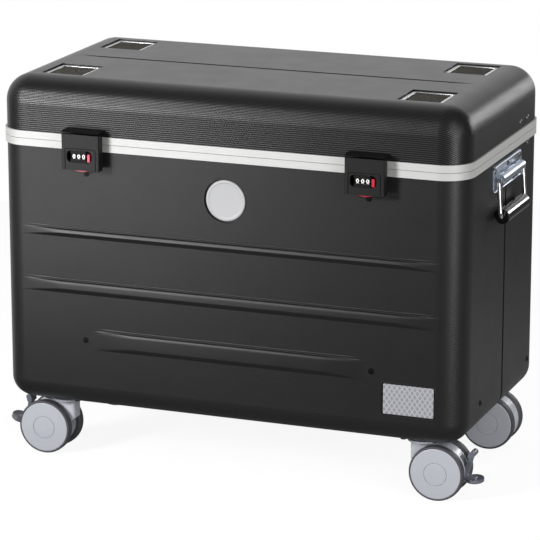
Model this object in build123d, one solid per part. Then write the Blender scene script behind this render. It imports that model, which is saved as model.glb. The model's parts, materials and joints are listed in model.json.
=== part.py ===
from build123d import *
from math import atan2, cos, degrees, hypot, radians, sin, sqrt
import os

# Laptop charging trolley: a hard case on twin-wheel casters, hinged at the back.
# +X is to the right, the front faces -Y, +Z is up, and the floor is at zero.

# Case shells
case_width = 660.0
case_depth = 352.0
case_clearance = 84.5
base_height = 367.5
lid_height = 81.5
shell_wall = 4.0
corner_radius = 40.0
base_edge_radius = 29.0
corner_blend = 1.5

# Aluminium frame round both rims
frame_lip = 2.5
frame_height = 10.0
frame_web = 3.0
frame_flange = 2.0
frame_flange_reach = 16.0
seam_gap = 0.6
gasket_width = 2.2
gasket_seat = 1.7

# Stamped ribs on the front: drop of the top edge below the seam, height, and gap from each end to the case's side
rib_rows = ((123.5, 8.0, 34.0), (198.0, 11.5, 34.0), (264.5, 21.0, 135.0))
rib_proud = 3.0
rib_run_out = 55.0
rib_shoulder = 1.5
rib_underside = 4.5
rib_groove_height = 4.5
rib_groove_depth = 1.8
rib_screw_gap = 8.5

# Groove down the middle of each side and along the lid
side_groove_width = 6.0
side_groove_depth = 1.6
side_groove_drop = 46.0
lid_groove_width = 6.0
lid_groove_depth = 1.8
lid_groove_end_gap = 47.0
lid_groove_run_out = 60.0

# Badge and label, both left bare
badge_radius = 27.5
badge_thickness = 2.2
badge_margin = 2.5
badge_pocket_depth = 2.4
badge_drop = 62.0
label_width = 69.0
label_height = 40.5
label_thickness = 0.8
label_margin = 2.2
label_pocket_depth = 1.6
label_side_gap = 75.5
label_rise = 59.5
label_corner = 1.0

# Vent wells in the lid
vent_width = 62.0
vent_depth = 69.0
vent_side_gap = 79.0
vent_end_gap = 80.0
vent_well_depth = 9.0
vent_wall = 2.5
vent_frame_height = 3.0
vent_bar = 7.5
vent_rail = 5.0
vent_mesh_thickness = 1.0
vent_mesh_columns = 6
vent_mesh_rows = 7
vent_mesh_strand = 1.8

# Back hinges
hinge_count = 3
hinge_spacing = 210.0
hinge_width = 70.0
hinge_knuckles = 5
hinge_knuckle_radius = 4.0
hinge_pin_radius = 2.0
hinge_leaf = 1.6
hinge_leaf_reach = 36.0
lid_opening = 95.0

# Folding stays at each end of the lid
stay_width = 14.0
stay_thickness = 2.5
stay_gap = 0.8
stay_slack = 0.3
stay_lid_inset = 104.0
stay_lid_rise = 19.5
stay_case_inset = 68.0
stay_case_drop = 15.0
stay_rivet_spacing = 32.0

# Combination latches
latch_spacing = 397.0
latch_width = 54.0
latch_rise = 14.5
latch_drop = 33.5
latch_proud = 17.0
latch_stand_off = 5.0
latch_front = 4.0
latch_side = 4.0
latch_pin_radius = 1.5
latch_lug_width = 24.0
latch_lug_radius = 3.5
latch_window_width = 36.0
latch_window_height = 16.0
latch_window_radius = 6.0
latch_window_drop = 15.0
latch_window_shift = -1.5
latch_panel_width = 44.5
latch_panel_line = 0.9
latch_panel_drop = 3.0
dial_radius = 8.0
dial_faces = 10
dial_width = 6.4
dial_pitch = 6.9
dial_shaft_radius = 1.2
dial_shift = -2.2
slide_width = 3.9
slide_thickness = 2.0
slide_block_height = 10.4
slide_tab_width = 26.0
slide_tab_drop = 2.7
slide_travel = 3.0
striker_width = 50.0
striker_height = 21.0
striker_hook = 2.5
striker_corner = 3.0
latch_bracket_taper = 4.0
latch_edge = 1.5

# Side handles
handle_shift = 8.0
handle_drop = 34.5
handle_plate_width = 128.0
handle_plate_height = 35.0
handle_plate = 2.0
handle_barrel_radius = 6.5
handle_barrel_slot = 10.0
bail_radius = 3.0
bail_width = 112.0
bail_drop = 50.0
bail_stub = 28.0
bail_bend = 7.0
grip_radius = 10.0
grip_gap = 4.0
grip_end_radius = 2.0
handle_plate_corner = 6.0

# Casters with twin wheels
wheel_diameter = 75.0
wheel_width = 14.5
wheel_gap = 24.0
wheel_cover_radius = 35.2
wheel_cap_radius = 15.6
wheel_cap_line = 0.8
tread_thickness = 6.5
axle_radius = 4.0
caster_trail = 25.0
caster_side_inset = 72.0
caster_end_inset = 59.4
caster_plate_length = 56.0
caster_plate_width = 44.0
caster_plate = 3.0
caster_plate_corner = 6.0
caster_race_radius = 19.0
caster_stem_radius = 5.0
caster_stem_length = 30.0
hood_width = 22.0
hood_lead = 15.0
hood_disc_radius = 21.0
hood_disc = 2.5
hood_rim_gap = 2.2
hood_lead_edge = 5.0
hood_rim_edge = 2.0
hood_slot_rise = 22.0
pedal_pivot_back = 20.0
pedal_pivot_drop = 2.0
pedal_hub_radius = 6.0
pedal_pad_out = 28.0
pedal_pad_drop = 1.2
pedal_pad_length = 24.0
pedal_pad_tilt = 12.0
pedal_pad_width = 30.0
pedal_dish = 1.8
pedal_thickness = 5.0
pedal_arm_width = 11.0
pedal_elbow_out = 14.5
pedal_elbow_drop = 1.0
pedal_neck_out = 16.0
pedal_neck_rise = 17.5
pedal_tip_out = 16.5
pedal_tip_rise = 30.0
pedal_tip_radius = 4.0
pedal_tip_width = 16.0
pedal_edge = 1.0
pedal_swing = 24.0
pedal_pin_radius = 2.5

# Fasteners
rivet_head_radius = 4.0
rivet_head = 1.8
rivet_radius = 2.0
screw_head_radius = 4.2
screw_head = 1.6
bolt_head_radius = 4.5
bolt_head = 3.0
bolt_radius = 3.0
side_screw_rise = 41.0
side_screw_front_gap = 86.0
side_screw_back_gap = 46.0

# Laptop rack
laptop_width = 376.0
laptop_height = 236.0
slot_count = 10
divider_thickness = 2.5
divider_corner = 25.0
rack_base = 10.0
rack_groove = 5.0
rack_end = 3.0
rack_end_height = 90.0
rack_side_gap = 18.0
rack_end_gap = 26.0
floor_thickness = 6.0

# Charging gear
bay_gap = 10.0
housing_height = 205.0
housing_wall = 1.5
housing_end_gap = 27.0
supply_length = 150.0
supply_width = 110.0
supply_height = 48.0
supply_corner = 4.0
housing_slot_count = 9
housing_slot_pitch = 14.0
housing_slot_length = 70.0
housing_slot_width = 6.0
strip_height = 24.0
strip_width = 46.0
strip_margin = 12.0
strip_corner = 6.0
gland_count = 10
gland_radius = 5.0
gland_height = 6.0
inlet_width = 52.0
inlet_height = 28.0
inlet_flange = 2.5
inlet_body_depth = 24.0
inlet_rise = 95.0
inlet_margin = 3.0
inlet_corner = 3.0
socket_width = 23.0
socket_height = 16.0
socket_depth = 17.0
socket_pin = 2.0
socket_pin_spread = 7.0
socket_pin_offset = 2.0
socket_corner = 3.0
rocker_width = 14.0
rocker_height = 14.0
rocker_depth = 6.0
rocker_tilt = 7.0
rocker_pin_radius = 1.2
lead_radius = 3.5
terminal_cover_margin = 2.0
terminal_cover_corner = 4.0

# Clearances
running = 0.05
hole_clearance = 0.1
moving_gap = 0.3

# Derived places
shell_width = case_width - 2 * frame_lip
shell_depth = case_depth - 2 * frame_lip
shell_corner = corner_radius - frame_lip
lid_edge_radius = shell_corner - corner_blend
shell_side = shell_width / 2
shell_back = shell_depth / 2
shell_front = -shell_back
frame_back = case_depth / 2
frame_front = -frame_back
seam = case_clearance + base_height
lid_top = seam + lid_height
base_rim = seam - seam_gap / 2 - frame_web
lid_rim = seam + seam_gap / 2 + frame_web
floor_top = case_clearance + shell_wall + floor_thickness
flange_inset = shell_wall + frame_flange

hinge_y = frame_back + hinge_knuckle_radius + moving_gap
hinge_places = [(index - (hinge_count - 1) / 2) * hinge_spacing for index in range(hinge_count)]

latch_pin_y = frame_front - (latch_proud + latch_stand_off) / 2
latch_pin_z = seam + latch_rise - (latch_proud - latch_stand_off) / 2
latch_face = frame_front - latch_proud
latch_rear = frame_front - latch_stand_off
latch_inside = latch_face + latch_front
latch_bottom = seam - latch_drop
window_z = seam - latch_window_drop
dial_y = latch_face + moving_gap + dial_radius
rib_wall = 1.2

handle_z = seam - handle_drop
handle_x = shell_side + handle_barrel_radius + moving_gap
handle_barrel_width = bail_width - 2 * bail_bend - 2 * moving_gap
wheel_radius = wheel_diameter / 2
swivel_x = case_width / 2 - caster_side_inset
swivel_y = case_depth / 2 - caster_end_inset
plate_bottom = case_clearance - caster_plate

# The case stands so that the middle of its overall depth, from latch face to hinge knuckle, is at zero
depth_shift = (latch_proud - hinge_knuckle_radius * 2 - moving_gap) / 2


def along_x(outline, low, high):
    """Solid of an outline drawn in Y and Z, between two X places."""
    return extrude(Plane.YZ.offset(low) * outline, high - low, dir=(1, 0, 0))


def along_y(outline, low, high):
    """Solid of an outline drawn in X and Z, between two Y places."""
    return extrude(Plane.XZ.offset(-low) * outline, high - low, dir=(0, 1, 0))


def along_z(outline, low, high):
    """Solid of an outline drawn in X and Y, between two heights."""
    return extrude(Plane.XY.offset(low) * outline, high - low, dir=(0, 0, 1))


def span(low, high, bottom, top):
    """Rectangle between two limits each way."""
    return Pos((low + high) / 2, (bottom + top) / 2) * Rectangle(high - low, top - bottom)


def dot(across, up, radius):
    """Circle at a place in its plane."""
    return Pos(across, up) * Circle(radius)


def group(*pieces):
    """Separate solids kept side by side in one node."""
    return Compound([solid for piece in pieces for solid in piece.solids()])


def both_ends(piece):
    """A right-hand piece with its left-hand twin."""
    return group(piece, mirror(piece, about=Plane.YZ))


def slab(inset, bottom, top):
    """Block on the shell's rounded plan, inset from its outer face."""
    plan = RectangleRounded(shell_width - 2 * inset, shell_depth - 2 * inset, shell_corner - inset)
    return along_z(plan, bottom, top)


def ring(outer, inner, bottom, top):
    """Band round the case between two insets from the shell's outer face."""
    return slab(outer, bottom, top) - slab(inner, bottom, top)


def tub(inset):
    """Filled lower shell, inset from its outer face, with its rounded bottom edge."""
    block = slab(inset, case_clearance + inset, base_rim)
    return fillet(block.edges().group_by(Axis.Z)[0], base_edge_radius - inset)


def dome(inset):
    """Filled lid, inset from its outer face, with its rounded top edge."""
    block = slab(inset, lid_rim, lid_top - inset)
    return fillet(block.edges().group_by(Axis.Z)[-1], lid_edge_radius - inset)


def front_frustum(foot, crest, foot_y, crest_y):
    """Ruled form between two outlines drawn in X and Z at two Y places."""
    return loft([Plane.XZ.offset(-foot_y) * foot, Plane.XZ.offset(-crest_y) * crest], ruled=True)


def rib_bead(top, height, half):
    """Stamped bead on the front, with ends that run out to points."""
    foot = span(-half, half, top - height, top)
    crest_half = half - rib_run_out
    crest = span(-crest_half, crest_half, top - height + rib_underside, top - rib_shoulder)
    return front_frustum(foot, crest, shell_front, shell_front - rib_proud)


def rib_groove(top, half):
    """Shadow groove along the top of a bead."""
    foot = span(-half, half, top, top + rib_groove_height)
    crest_half = half - rib_run_out
    crest = span(-crest_half, crest_half, top + rib_groove_height * 0.15, top + rib_groove_height * 0.4)
    return front_frustum(foot, crest, shell_front, shell_front + rib_groove_depth)


def rib_places():
    """Top edge, height and half length of each rib."""
    return [(seam - drop, height, case_width / 2 - gap) for drop, height, gap in rib_rows]


def handle_rivet_places():
    """Y and Z of the rivets in a handle plate."""
    top_row = handle_z + handle_plate_height / 2 - rivet_head_radius * 1.3
    low_row = handle_z - handle_plate_height / 2 + rivet_head_radius * 1.3
    step = handle_plate_width / 2 - rivet_head_radius * 2
    places = [(handle_shift + side * step, top_row) for side in (-1, 0, 1)]
    return places + [(handle_shift + side * step / 2, low_row) for side in (-1, 1)]


def stay_points():
    """Lid pivot, case pivot and elbow of the folded stay, from the hinge axis, and the length of each link."""
    lid_end = (frame_back - stay_lid_inset - hinge_y, stay_lid_rise)
    case_end = (frame_back - stay_case_inset - hinge_y, -stay_case_drop)
    turn = radians(lid_opening)
    opened = (lid_end[0] * cos(turn) + lid_end[1] * sin(turn), lid_end[1] * cos(turn) - lid_end[0] * sin(turn))
    link = hypot(opened[0] - case_end[0], opened[1] - case_end[1]) / 2 + stay_slack
    across = (case_end[0] - lid_end[0], case_end[1] - lid_end[1])
    base = hypot(*across)
    rise = sqrt(link**2 - (base / 2) ** 2)
    middle = ((lid_end[0] + case_end[0]) / 2, (lid_end[1] + case_end[1]) / 2)
    elbow = (middle[0] + rise * across[1] / base, middle[1] - rise * across[0] / base)
    return lid_end, case_end, elbow, link


def hinge_rivet_places():
    """X of the rivets in each hinge's leaves."""
    return [place + side * hinge_width / 4 for place in hinge_places for side in (-1, 1)]


def caster_places():
    """Name, swivel X and Y, and turn of each caster, which trails outward."""
    return [
        ("front_left", -swivel_x, -swivel_y, 180),
        ("front_right", swivel_x, -swivel_y, 0),
        ("rear_left", -swivel_x, swivel_y, 180),
        ("rear_right", swivel_x, swivel_y, 0),
    ]


def bolt_places():
    """Corners of a caster plate's bolts about its swivel."""
    across = caster_plate_length / 2 - bolt_head_radius * 1.3
    along = caster_plate_width / 2 - bolt_head_radius * 1.3
    return [(x, y) for x in (-across, across) for y in (-along, along)]


def latch_places():
    """Name and X of each latch."""
    return [("left", -latch_spacing / 2), ("right", latch_spacing / 2)]


def screw_places():
    """X and Z of the black screws on the front."""
    top, height, half = rib_places()[-1]
    low = [(side * (half + rib_screw_gap), top - height / 2 + rib_groove_height / 2) for side in (-1, 1)]
    high_z = seam - latch_drop - slide_tab_drop - screw_head_radius * 1.4
    return low + [(x, high_z) for _, x in latch_places()]


def side_screw_places():
    """Y and Z of the black screws low on each side."""
    z = case_clearance + side_screw_rise
    return [(side_screw_front_gap - frame_back, z), (frame_back - side_screw_back_gap, z)]


def inlet_place():
    """X and Z of the mains inlet in the back."""
    low, high = bay_limits()
    return (low + high) / 2, case_clearance + inlet_rise


def rack_limits():
    """X of the rack's two ends."""
    low = -shell_side + shell_wall + rack_side_gap
    return low, low + laptop_width + 2 * rack_end + 2 * divider_thickness


def bay_limits():
    """X of the charging bay's two sides."""
    return rack_limits()[1] + bay_gap, shell_side - shell_wall - rack_side_gap


def lower_shell():
    """Moulded tub with stamped ribs, pockets for the badge and label, and holes for what is fixed to it."""
    body = tub(0) - tub(shell_wall)
    rim_cut = slab(shell_wall, base_rim - shell_wall, base_rim)
    body -= rim_cut
    for top, height, half in rib_places():
        body += rib_bead(top, height, half)
        body -= rib_groove(top, half)
    skin = tub(0) - tub(side_groove_depth)
    for side in (-1, 1):
        reach = sorted((side * (shell_side - base_edge_radius), side * shell_side))
        low = handle_shift - side_groove_width / 2
        strip = along_z(span(*reach, low, low + side_groove_width), case_clearance, seam - side_groove_drop)
        body -= skin & strip
    badge = dot(0, seam - badge_drop, badge_radius + badge_margin)
    body -= along_y(badge, shell_front, shell_front + badge_pocket_depth)
    body -= label_pocket()
    for x, z in screw_places():
        body -= along_y(dot(x, z, rivet_radius + hole_clearance), shell_front - rib_proud, shell_front + shell_wall)
    for y, z in handle_rivet_places() + side_screw_places() + [stay_case_place()]:
        body -= along_x(dot(y, z, rivet_radius + hole_clearance), -shell_side, shell_side)
    for x in hinge_rivet_places():
        hole = dot(x, seam - hinge_leaf_reach + rivet_head_radius * 1.5, rivet_radius + hole_clearance)
        body -= along_y(hole, shell_back - shell_wall, shell_back)
    for _, swivel, back, _ in caster_places():
        for x, y in bolt_places():
            hole = dot(swivel + x, back + y, bolt_radius + hole_clearance)
            body -= along_z(hole, case_clearance, case_clearance + shell_wall)
    x, z = inlet_place()
    opening = Pos(x, z) * Rectangle(
        inlet_width - 2 * inlet_margin + 2 * hole_clearance, inlet_height - 2 * inlet_margin + 2 * hole_clearance
    )
    return body - along_y(opening, shell_back - shell_wall, shell_back)


def label_middle():
    """X and Z of the label's middle."""
    return case_width / 2 - label_side_gap, case_clearance + label_rise


def label_pocket():
    """Recess that the label lies in."""
    x, z = label_middle()
    outline = RectangleRounded(label_width + 2 * label_margin, label_height + 2 * label_margin, label_margin * 1.4)
    return along_y(Pos(x, z) * outline, shell_front, shell_front + label_pocket_depth)


def stay_case_place():
    """Y and Z of the stay's pivot on the case."""
    return frame_back - stay_case_inset, seam - stay_case_drop


def stay_lid_places():
    """Y and Z of the two stay rivets on the lid, the pivot first."""
    pivot = (frame_back - stay_lid_inset, seam + stay_lid_rise)
    return [pivot, (pivot[0] + stay_rivet_spacing, pivot[1])]


def frame_half(direction):
    """Channel profile that grips one shell's rim: outer lip, web at the seam and inner flange."""
    edge = seam + direction * seam_gap / 2
    web = edge + direction * frame_web
    lip = ring(-frame_lip, 0, *sorted((edge, seam + direction * frame_height)))
    top = ring(0, flange_inset, *sorted((edge, web)))
    flange = ring(shell_wall, flange_inset, *sorted((web, seam + direction * frame_flange_reach)))
    return lip + top + flange


def butted(profile):
    """Cuts a rim profile where its bends begin: four straight lengths and four bent corners, butted."""
    x, y = case_width / 2, case_depth / 2
    columns = [(-x, corner_radius - x), (corner_radius - x, x - corner_radius), (x - corner_radius, x)]
    rows = [(-y, corner_radius - y), (corner_radius - y, y - corner_radius), (y - corner_radius, y)]
    cells = [(across, along) for across in columns for along in rows]
    cells.remove((columns[1], rows[1]))
    low, high = seam - frame_flange_reach, seam + frame_flange_reach
    return group(*[profile & along_z(span(*across, *along), low, high) for across, along in cells])


def gasket_insets():
    """Outer and inner inset of the gasket in the middle of the frame's web."""
    outer = (shell_wall - gasket_width) / 2
    return outer, outer + gasket_width


def lower_frame():
    """Lower profile, with the groove for the gasket."""
    outer, inner = gasket_insets()
    edge = seam - seam_gap / 2
    body = frame_half(-1) - ring(outer, inner, edge - gasket_seat, edge)
    body -= along_x(dot(*stay_case_place(), rivet_radius + hole_clearance), -shell_side, shell_side)
    return butted(body)


def frame_gasket():
    """Sealing strip in the lower profile, just clear of the upper one."""
    outer, inner = gasket_insets()
    edge = seam - seam_gap / 2
    return ring(outer, inner, edge - gasket_seat, seam + seam_gap / 4)


def lid_shell():
    """Moulded lid with four vent wells and a groove along its top."""
    body = dome(0) - dome(shell_wall)
    body -= slab(shell_wall, lid_rim, lid_rim + shell_wall)
    for x, y in vent_places():
        well = Pos(x, y) * Rectangle(vent_width + 2 * vent_wall, vent_depth + 2 * vent_wall)
        body += along_z(well, lid_top - vent_well_depth - shell_wall, lid_top - shell_wall / 2)
    for x, y in vent_places():
        body -= along_z(Pos(x, y) * Rectangle(vent_width, vent_depth), lid_top - vent_well_depth, lid_top)
        air = Pos(x, y) * Rectangle(vent_width - 2 * vent_bar, vent_depth - 2 * vent_rail)
        body -= along_z(air, lid_top - vent_well_depth - shell_wall, lid_top)
    half = case_width / 2 - lid_groove_end_gap
    foot = Plane.XY.offset(lid_top) * Rectangle(2 * half, lid_groove_width)
    crest = Plane.XY.offset(lid_top - lid_groove_depth) * Rectangle(
        2 * (half - lid_groove_run_out), lid_groove_width / 4
    )
    body -= loft([foot, crest], ruled=True)
    for y, z in stay_lid_places():
        body -= along_x(dot(y, z, rivet_radius + hole_clearance), -shell_side, shell_side)
    for x in hinge_rivet_places():
        hole = dot(x, seam + hinge_leaf_reach - rivet_head_radius * 1.5, rivet_radius + hole_clearance)
        body -= along_y(hole, shell_back - shell_wall, shell_back)
    return body


def vent_places():
    """X and Y of the four vent wells."""
    across = case_width / 2 - vent_side_gap
    along = case_depth / 2 - vent_end_gap
    return [(x, y) for x in (-across, across) for y in (-along, along)]


def vent_frame(x, y):
    """Pressed metal frame on a well's floor, with sloping inner edges."""
    floor = lid_top - vent_well_depth + vent_mesh_thickness
    outer = along_z(Rectangle(vent_width - 2 * moving_gap, vent_depth - 2 * moving_gap), 0, vent_frame_height)
    low = Rectangle(vent_width - 2 * vent_bar, vent_depth - 2 * vent_rail)
    high = Rectangle(vent_width - vent_bar, vent_depth - vent_rail)
    throat = loft([low, Plane.XY.offset(vent_frame_height) * high], ruled=True)
    return Pos(x, y, floor) * (outer - throat)


def vent_mesh(x, y):
    """Woven guard under a vent frame, drawn with wide gaps."""
    width = vent_width - 2 * moving_gap
    depth = vent_depth - 2 * moving_gap
    open_width = vent_width - 2 * vent_bar
    open_depth = vent_depth - 2 * vent_rail
    column = open_width / vent_mesh_columns
    row = open_depth / vent_mesh_rows
    gaps = GridLocations(column, row, vent_mesh_columns, vent_mesh_rows) * Rectangle(
        column - vent_mesh_strand, row - vent_mesh_strand
    )
    sheet = Rectangle(width, depth) - gaps
    floor = lid_top - vent_well_depth
    return Pos(x, y) * along_z(sheet, floor, floor + vent_mesh_thickness)


def hinge_leaves(direction):
    """Leaf of each hinge: a joggled strip on frame and shell, with every other knuckle round the pin."""
    low = direction * seam_gap
    step = direction * (frame_height + moving_gap)
    tip = direction * hinge_leaf_reach
    slope = direction * frame_lip
    joggle = direction * hinge_leaf
    outline = Polygon(
        (frame_back, seam + low),
        (frame_back + hinge_leaf, seam + low),
        (frame_back + hinge_leaf, seam + step + joggle / 2),
        (shell_back + hinge_leaf, seam + step + slope + joggle / 2),
        (shell_back + hinge_leaf, seam + tip),
        (shell_back, seam + tip),
        (shell_back, seam + step + slope),
        (frame_back, seam + step),
        align=None,
    )
    pitch = hinge_width / hinge_knuckles
    leaves = []
    for place in hinge_places:
        start = place - hinge_width / 2
        leaf = along_x(outline, start, start + hinge_width)
        for index in range(hinge_knuckles):
            low_x = start + index * pitch
            own = (index % 2 == 0) == (direction < 0)
            if own:
                barrel = dot(hinge_y, seam, hinge_knuckle_radius)
                neck = span(frame_back, hinge_y, *sorted((seam, seam + direction * hinge_knuckle_radius)))
                leaf += along_x(barrel + neck, low_x + moving_gap / 2, low_x + pitch - moving_gap / 2)
            else:
                room = dot(hinge_y, seam, hinge_knuckle_radius + moving_gap)
                leaf -= along_x(room, low_x - moving_gap / 2, low_x + pitch + moving_gap / 2)
        bore = hinge_pin_radius + (running if direction > 0 else 0)
        leaf -= along_x(dot(hinge_y, seam, bore), start, start + hinge_width)
        for side in (-1, 1):
            hole = dot(
                place + side * hinge_width / 4,
                seam + tip - direction * rivet_head_radius * 1.5,
                rivet_radius + hole_clearance,
            )
            leaf -= along_y(hole, shell_back, shell_back + hinge_leaf)
        leaves.append(leaf)
    return leaves


def hinge_pins():
    """Pin of each hinge, held by the lower leaf's knuckles."""
    pin = dot(hinge_y, seam, hinge_pin_radius)
    return [along_x(pin, place - hinge_width / 2, place + hinge_width / 2) for place in hinge_places]


def rivet(base, direction, length):
    """Domed head with a shank that runs back from its seat."""
    flat = rivet_head_radius * 0.55
    profile = Polygon(
        (0, -length),
        (rivet_radius, -length),
        (rivet_radius, 0),
        (rivet_head_radius, 0),
        (rivet_head_radius * 0.85, rivet_head * 0.6),
        (flat, rivet_head),
        (0, rivet_head),
        align=None,
    )
    solid = revolve(Plane.XZ * profile, Axis.Z)
    return Plane(origin=base, z_dir=direction) * solid


def black_screw(base, direction):
    """Pan-head screw with a cross-shaped drive left to the surface finish."""
    head = along_z(Circle(screw_head_radius), 0, screw_head)
    head = chamfer(head.edges().group_by(Axis.Z)[-1], screw_head / 2)
    head -= along_z(RegularPolygon(screw_head_radius * 0.45, 6), screw_head / 3, screw_head)
    solid = head + along_z(Circle(rivet_radius), -shell_wall, 0)
    return Plane(origin=base, z_dir=direction) * solid


def black_screws():
    """Screws on the front and low on both sides."""
    screws = [black_screw((x, shell_front, z), (0, -1, 0)) for x, z in screw_places()]
    for y, z in side_screw_places():
        screws += [black_screw((side * shell_side, y, z), (side, 0, 0)) for side in (-1, 1)]
    return group(*screws)


def stay_layers():
    """Inner and outer X of the lid link and of the case arm of the right-hand stay."""
    link_out = shell_side - flange_inset - stay_gap
    link_in = link_out - stay_thickness
    arm_out = link_in - stay_gap
    return link_in, link_out, arm_out - stay_thickness, arm_out


def steel_fasteners():
    """Rivets of the handles, stays and lower hinge leaves, and the caster bolts."""
    pieces = []
    through = shell_wall + handle_plate
    for y, z in handle_rivet_places():
        pieces += both_ends(rivet((shell_side + handle_plate, y, z), (1, 0, 0), through)).solids()
    y, z = stay_case_place()
    arm_in = stay_layers()[2]
    pieces += both_ends(rivet((shell_side, y, z), (1, 0, 0), shell_side - arm_in + stay_gap / 2)).solids()
    low = seam - hinge_leaf_reach + rivet_head_radius * 1.5
    for x in hinge_rivet_places():
        pieces.append(rivet((x, shell_back + hinge_leaf, low), (0, 1, 0), shell_wall + hinge_leaf))
    for _, swivel, back, _ in caster_places():
        for x, y in bolt_places():
            head = along_z(RegularPolygon(bolt_head_radius, 6), plate_bottom - bolt_head, plate_bottom)
            shank = along_z(Circle(bolt_radius), plate_bottom, case_clearance + shell_wall)
            pieces.append(Pos(swivel + x, back + y) * (head + shank))
    return group(*pieces)


def lid_rivets():
    """Rivets of the stays and of the upper hinge leaves."""
    pieces = []
    pivot, spare = stay_lid_places()
    link_in = stay_layers()[0]
    pieces += both_ends(rivet((shell_side, *pivot), (1, 0, 0), shell_side - link_in + stay_gap / 4)).solids()
    pieces += both_ends(rivet((shell_side, *spare), (1, 0, 0), shell_wall)).solids()
    high = seam + hinge_leaf_reach - rivet_head_radius * 1.5
    for x in hinge_rivet_places():
        pieces.append(rivet((x, shell_back + hinge_leaf, high), (0, 1, 0), shell_wall + hinge_leaf))
    return group(*pieces)


def stay_bar(start, end, low, high):
    """Flat link with round ends between two points measured from the hinge axis."""
    across = (end[0] - start[0], end[1] - start[1])
    middle = (hinge_y + (start[0] + end[0]) / 2, seam + (start[1] + end[1]) / 2)
    outline = SlotCenterToCenter(hypot(*across), stay_width, degrees(atan2(across[1], across[0])))
    pivot = dot(hinge_y + start[0], seam + start[1], rivet_radius + running)
    return along_x(Pos(*middle) * outline - pivot, low, high)


def stay_pair():
    """Lid link and case arm of the right-hand stay, folded."""
    lid_end, case_end, elbow, _ = stay_points()
    link_in, link_out, arm_in, arm_out = stay_layers()
    arm = stay_bar(case_end, elbow, arm_in, arm_out)
    stud = dot(hinge_y + elbow[0], seam + elbow[1], rivet_head_radius)
    arm += along_x(stud, arm_in - rivet_head, arm_in)
    return stay_bar(lid_end, elbow, link_in, link_out), arm


def latch_bracket(x):
    """Tapered block on the upper frame, with the lug that holds the flap's pin."""
    half = latch_width / 2 - latch_side / 2
    front = latch_rear + moving_gap * 2
    taper = latch_bracket_taper
    plan = Polygon((-half, front), (half, front), (half - taper, frame_front), (taper - half, frame_front), align=None)
    base = along_z(plan, seam + seam_gap * 2, seam + frame_height)
    lug = dot(latch_pin_y, latch_pin_z, latch_lug_radius)
    neck = span(latch_pin_y, frame_front, latch_pin_z - latch_lug_radius, latch_pin_z + latch_lug_radius)
    lug = along_x(lug + neck, -latch_lug_width / 2, latch_lug_width / 2)
    body = base + lug - along_x(dot(latch_pin_y, latch_pin_z, latch_pin_radius), -half, half)
    return Pos(x) * body


def latch_pin(x):
    """Hinge pin of a latch flap."""
    half = latch_width / 2 - latch_side
    return Pos(x) * along_x(dot(latch_pin_y, latch_pin_z, latch_pin_radius), -half, half)


def latch_flap(x):
    """Flap that hangs from the pin: hollow behind, with a window for the dials and ribs for their shaft."""
    half = latch_width / 2
    reach = (latch_proud - latch_stand_off) / 2
    outline = span(latch_face, latch_rear, latch_bottom, latch_pin_z)
    outline += span(latch_face, latch_pin_y, latch_pin_z, latch_pin_z + reach)
    outline += dot(latch_pin_y, latch_pin_z, reach)
    body = along_x(outline, -half, half)
    corners = body.edges().filter_by(Axis.Z).group_by(Axis.Y)[0]
    body = fillet(corners, latch_edge)
    inner = half - latch_side
    cavity_top = latch_pin_z - reach - latch_pin_radius
    body -= along_y(span(-inner, inner, latch_bottom, cavity_top), latch_inside, latch_rear)
    room = latch_lug_radius + 2 * moving_gap
    notch = span(latch_pin_y - room, latch_rear, latch_pin_z - room, latch_pin_z + reach)
    notch_half = latch_lug_width / 2 + moving_gap
    body -= along_x(notch, -notch_half, notch_half)
    body -= along_x(dot(latch_pin_y, latch_pin_z, latch_pin_radius + running), -inner - moving_gap, inner + moving_gap)
    window = RectangleRounded(latch_window_width, latch_window_height, latch_window_radius)
    body -= along_y(Pos(latch_window_shift, window_z) * window, latch_face, latch_inside)
    body -= latch_panel_groove()
    for low, high in dial_rib_spans():
        rib = span(low, high, window_z - latch_window_height / 2 - rib_wall, window_z + latch_window_height / 2 + rib_wall)
        body += along_y(rib, latch_inside, latch_rear)
    left, right = dial_rib_spans()
    body += along_x(dot(dial_y, window_z, dial_shaft_radius), left[0], right[1])
    return Pos(x) * body


def latch_panel_groove():
    """Thin line round the flap's lower panel, open at the bottom edge."""
    top = window_z + latch_window_height / 2 + latch_panel_drop
    low = latch_bottom - latch_panel_width
    half = latch_panel_width / 2
    outer = span(-half, half, low, top)
    outer = fillet(outer.vertices().group_by(Axis.Y)[-1], latch_panel_drop)
    inner = span(-half + latch_panel_line, half - latch_panel_line, low, top - latch_panel_line)
    inner = fillet(inner.vertices().group_by(Axis.Y)[-1], latch_panel_drop - latch_panel_line)
    return along_y(outer - inner, latch_face, latch_face + latch_panel_line)


def dial_rib_spans():
    """X limits of the two ribs that carry the dial shaft."""
    reach = dial_pitch + dial_width / 2 + moving_gap
    return (dial_shift - reach - rib_wall, dial_shift - reach), (dial_shift + reach, dial_shift + reach + rib_wall)


def dial(x, index):
    """Ten-sided number wheel on the flap's shaft."""
    middle = x + dial_shift + (index - 1) * dial_pitch
    side = Pos(dial_y, window_z) * RegularPolygon(dial_radius, dial_faces, rotation=180 / dial_faces)
    side -= dot(dial_y, window_z, dial_shaft_radius + running)
    return along_x(side, middle - dial_width / 2, middle + dial_width / 2)


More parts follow.
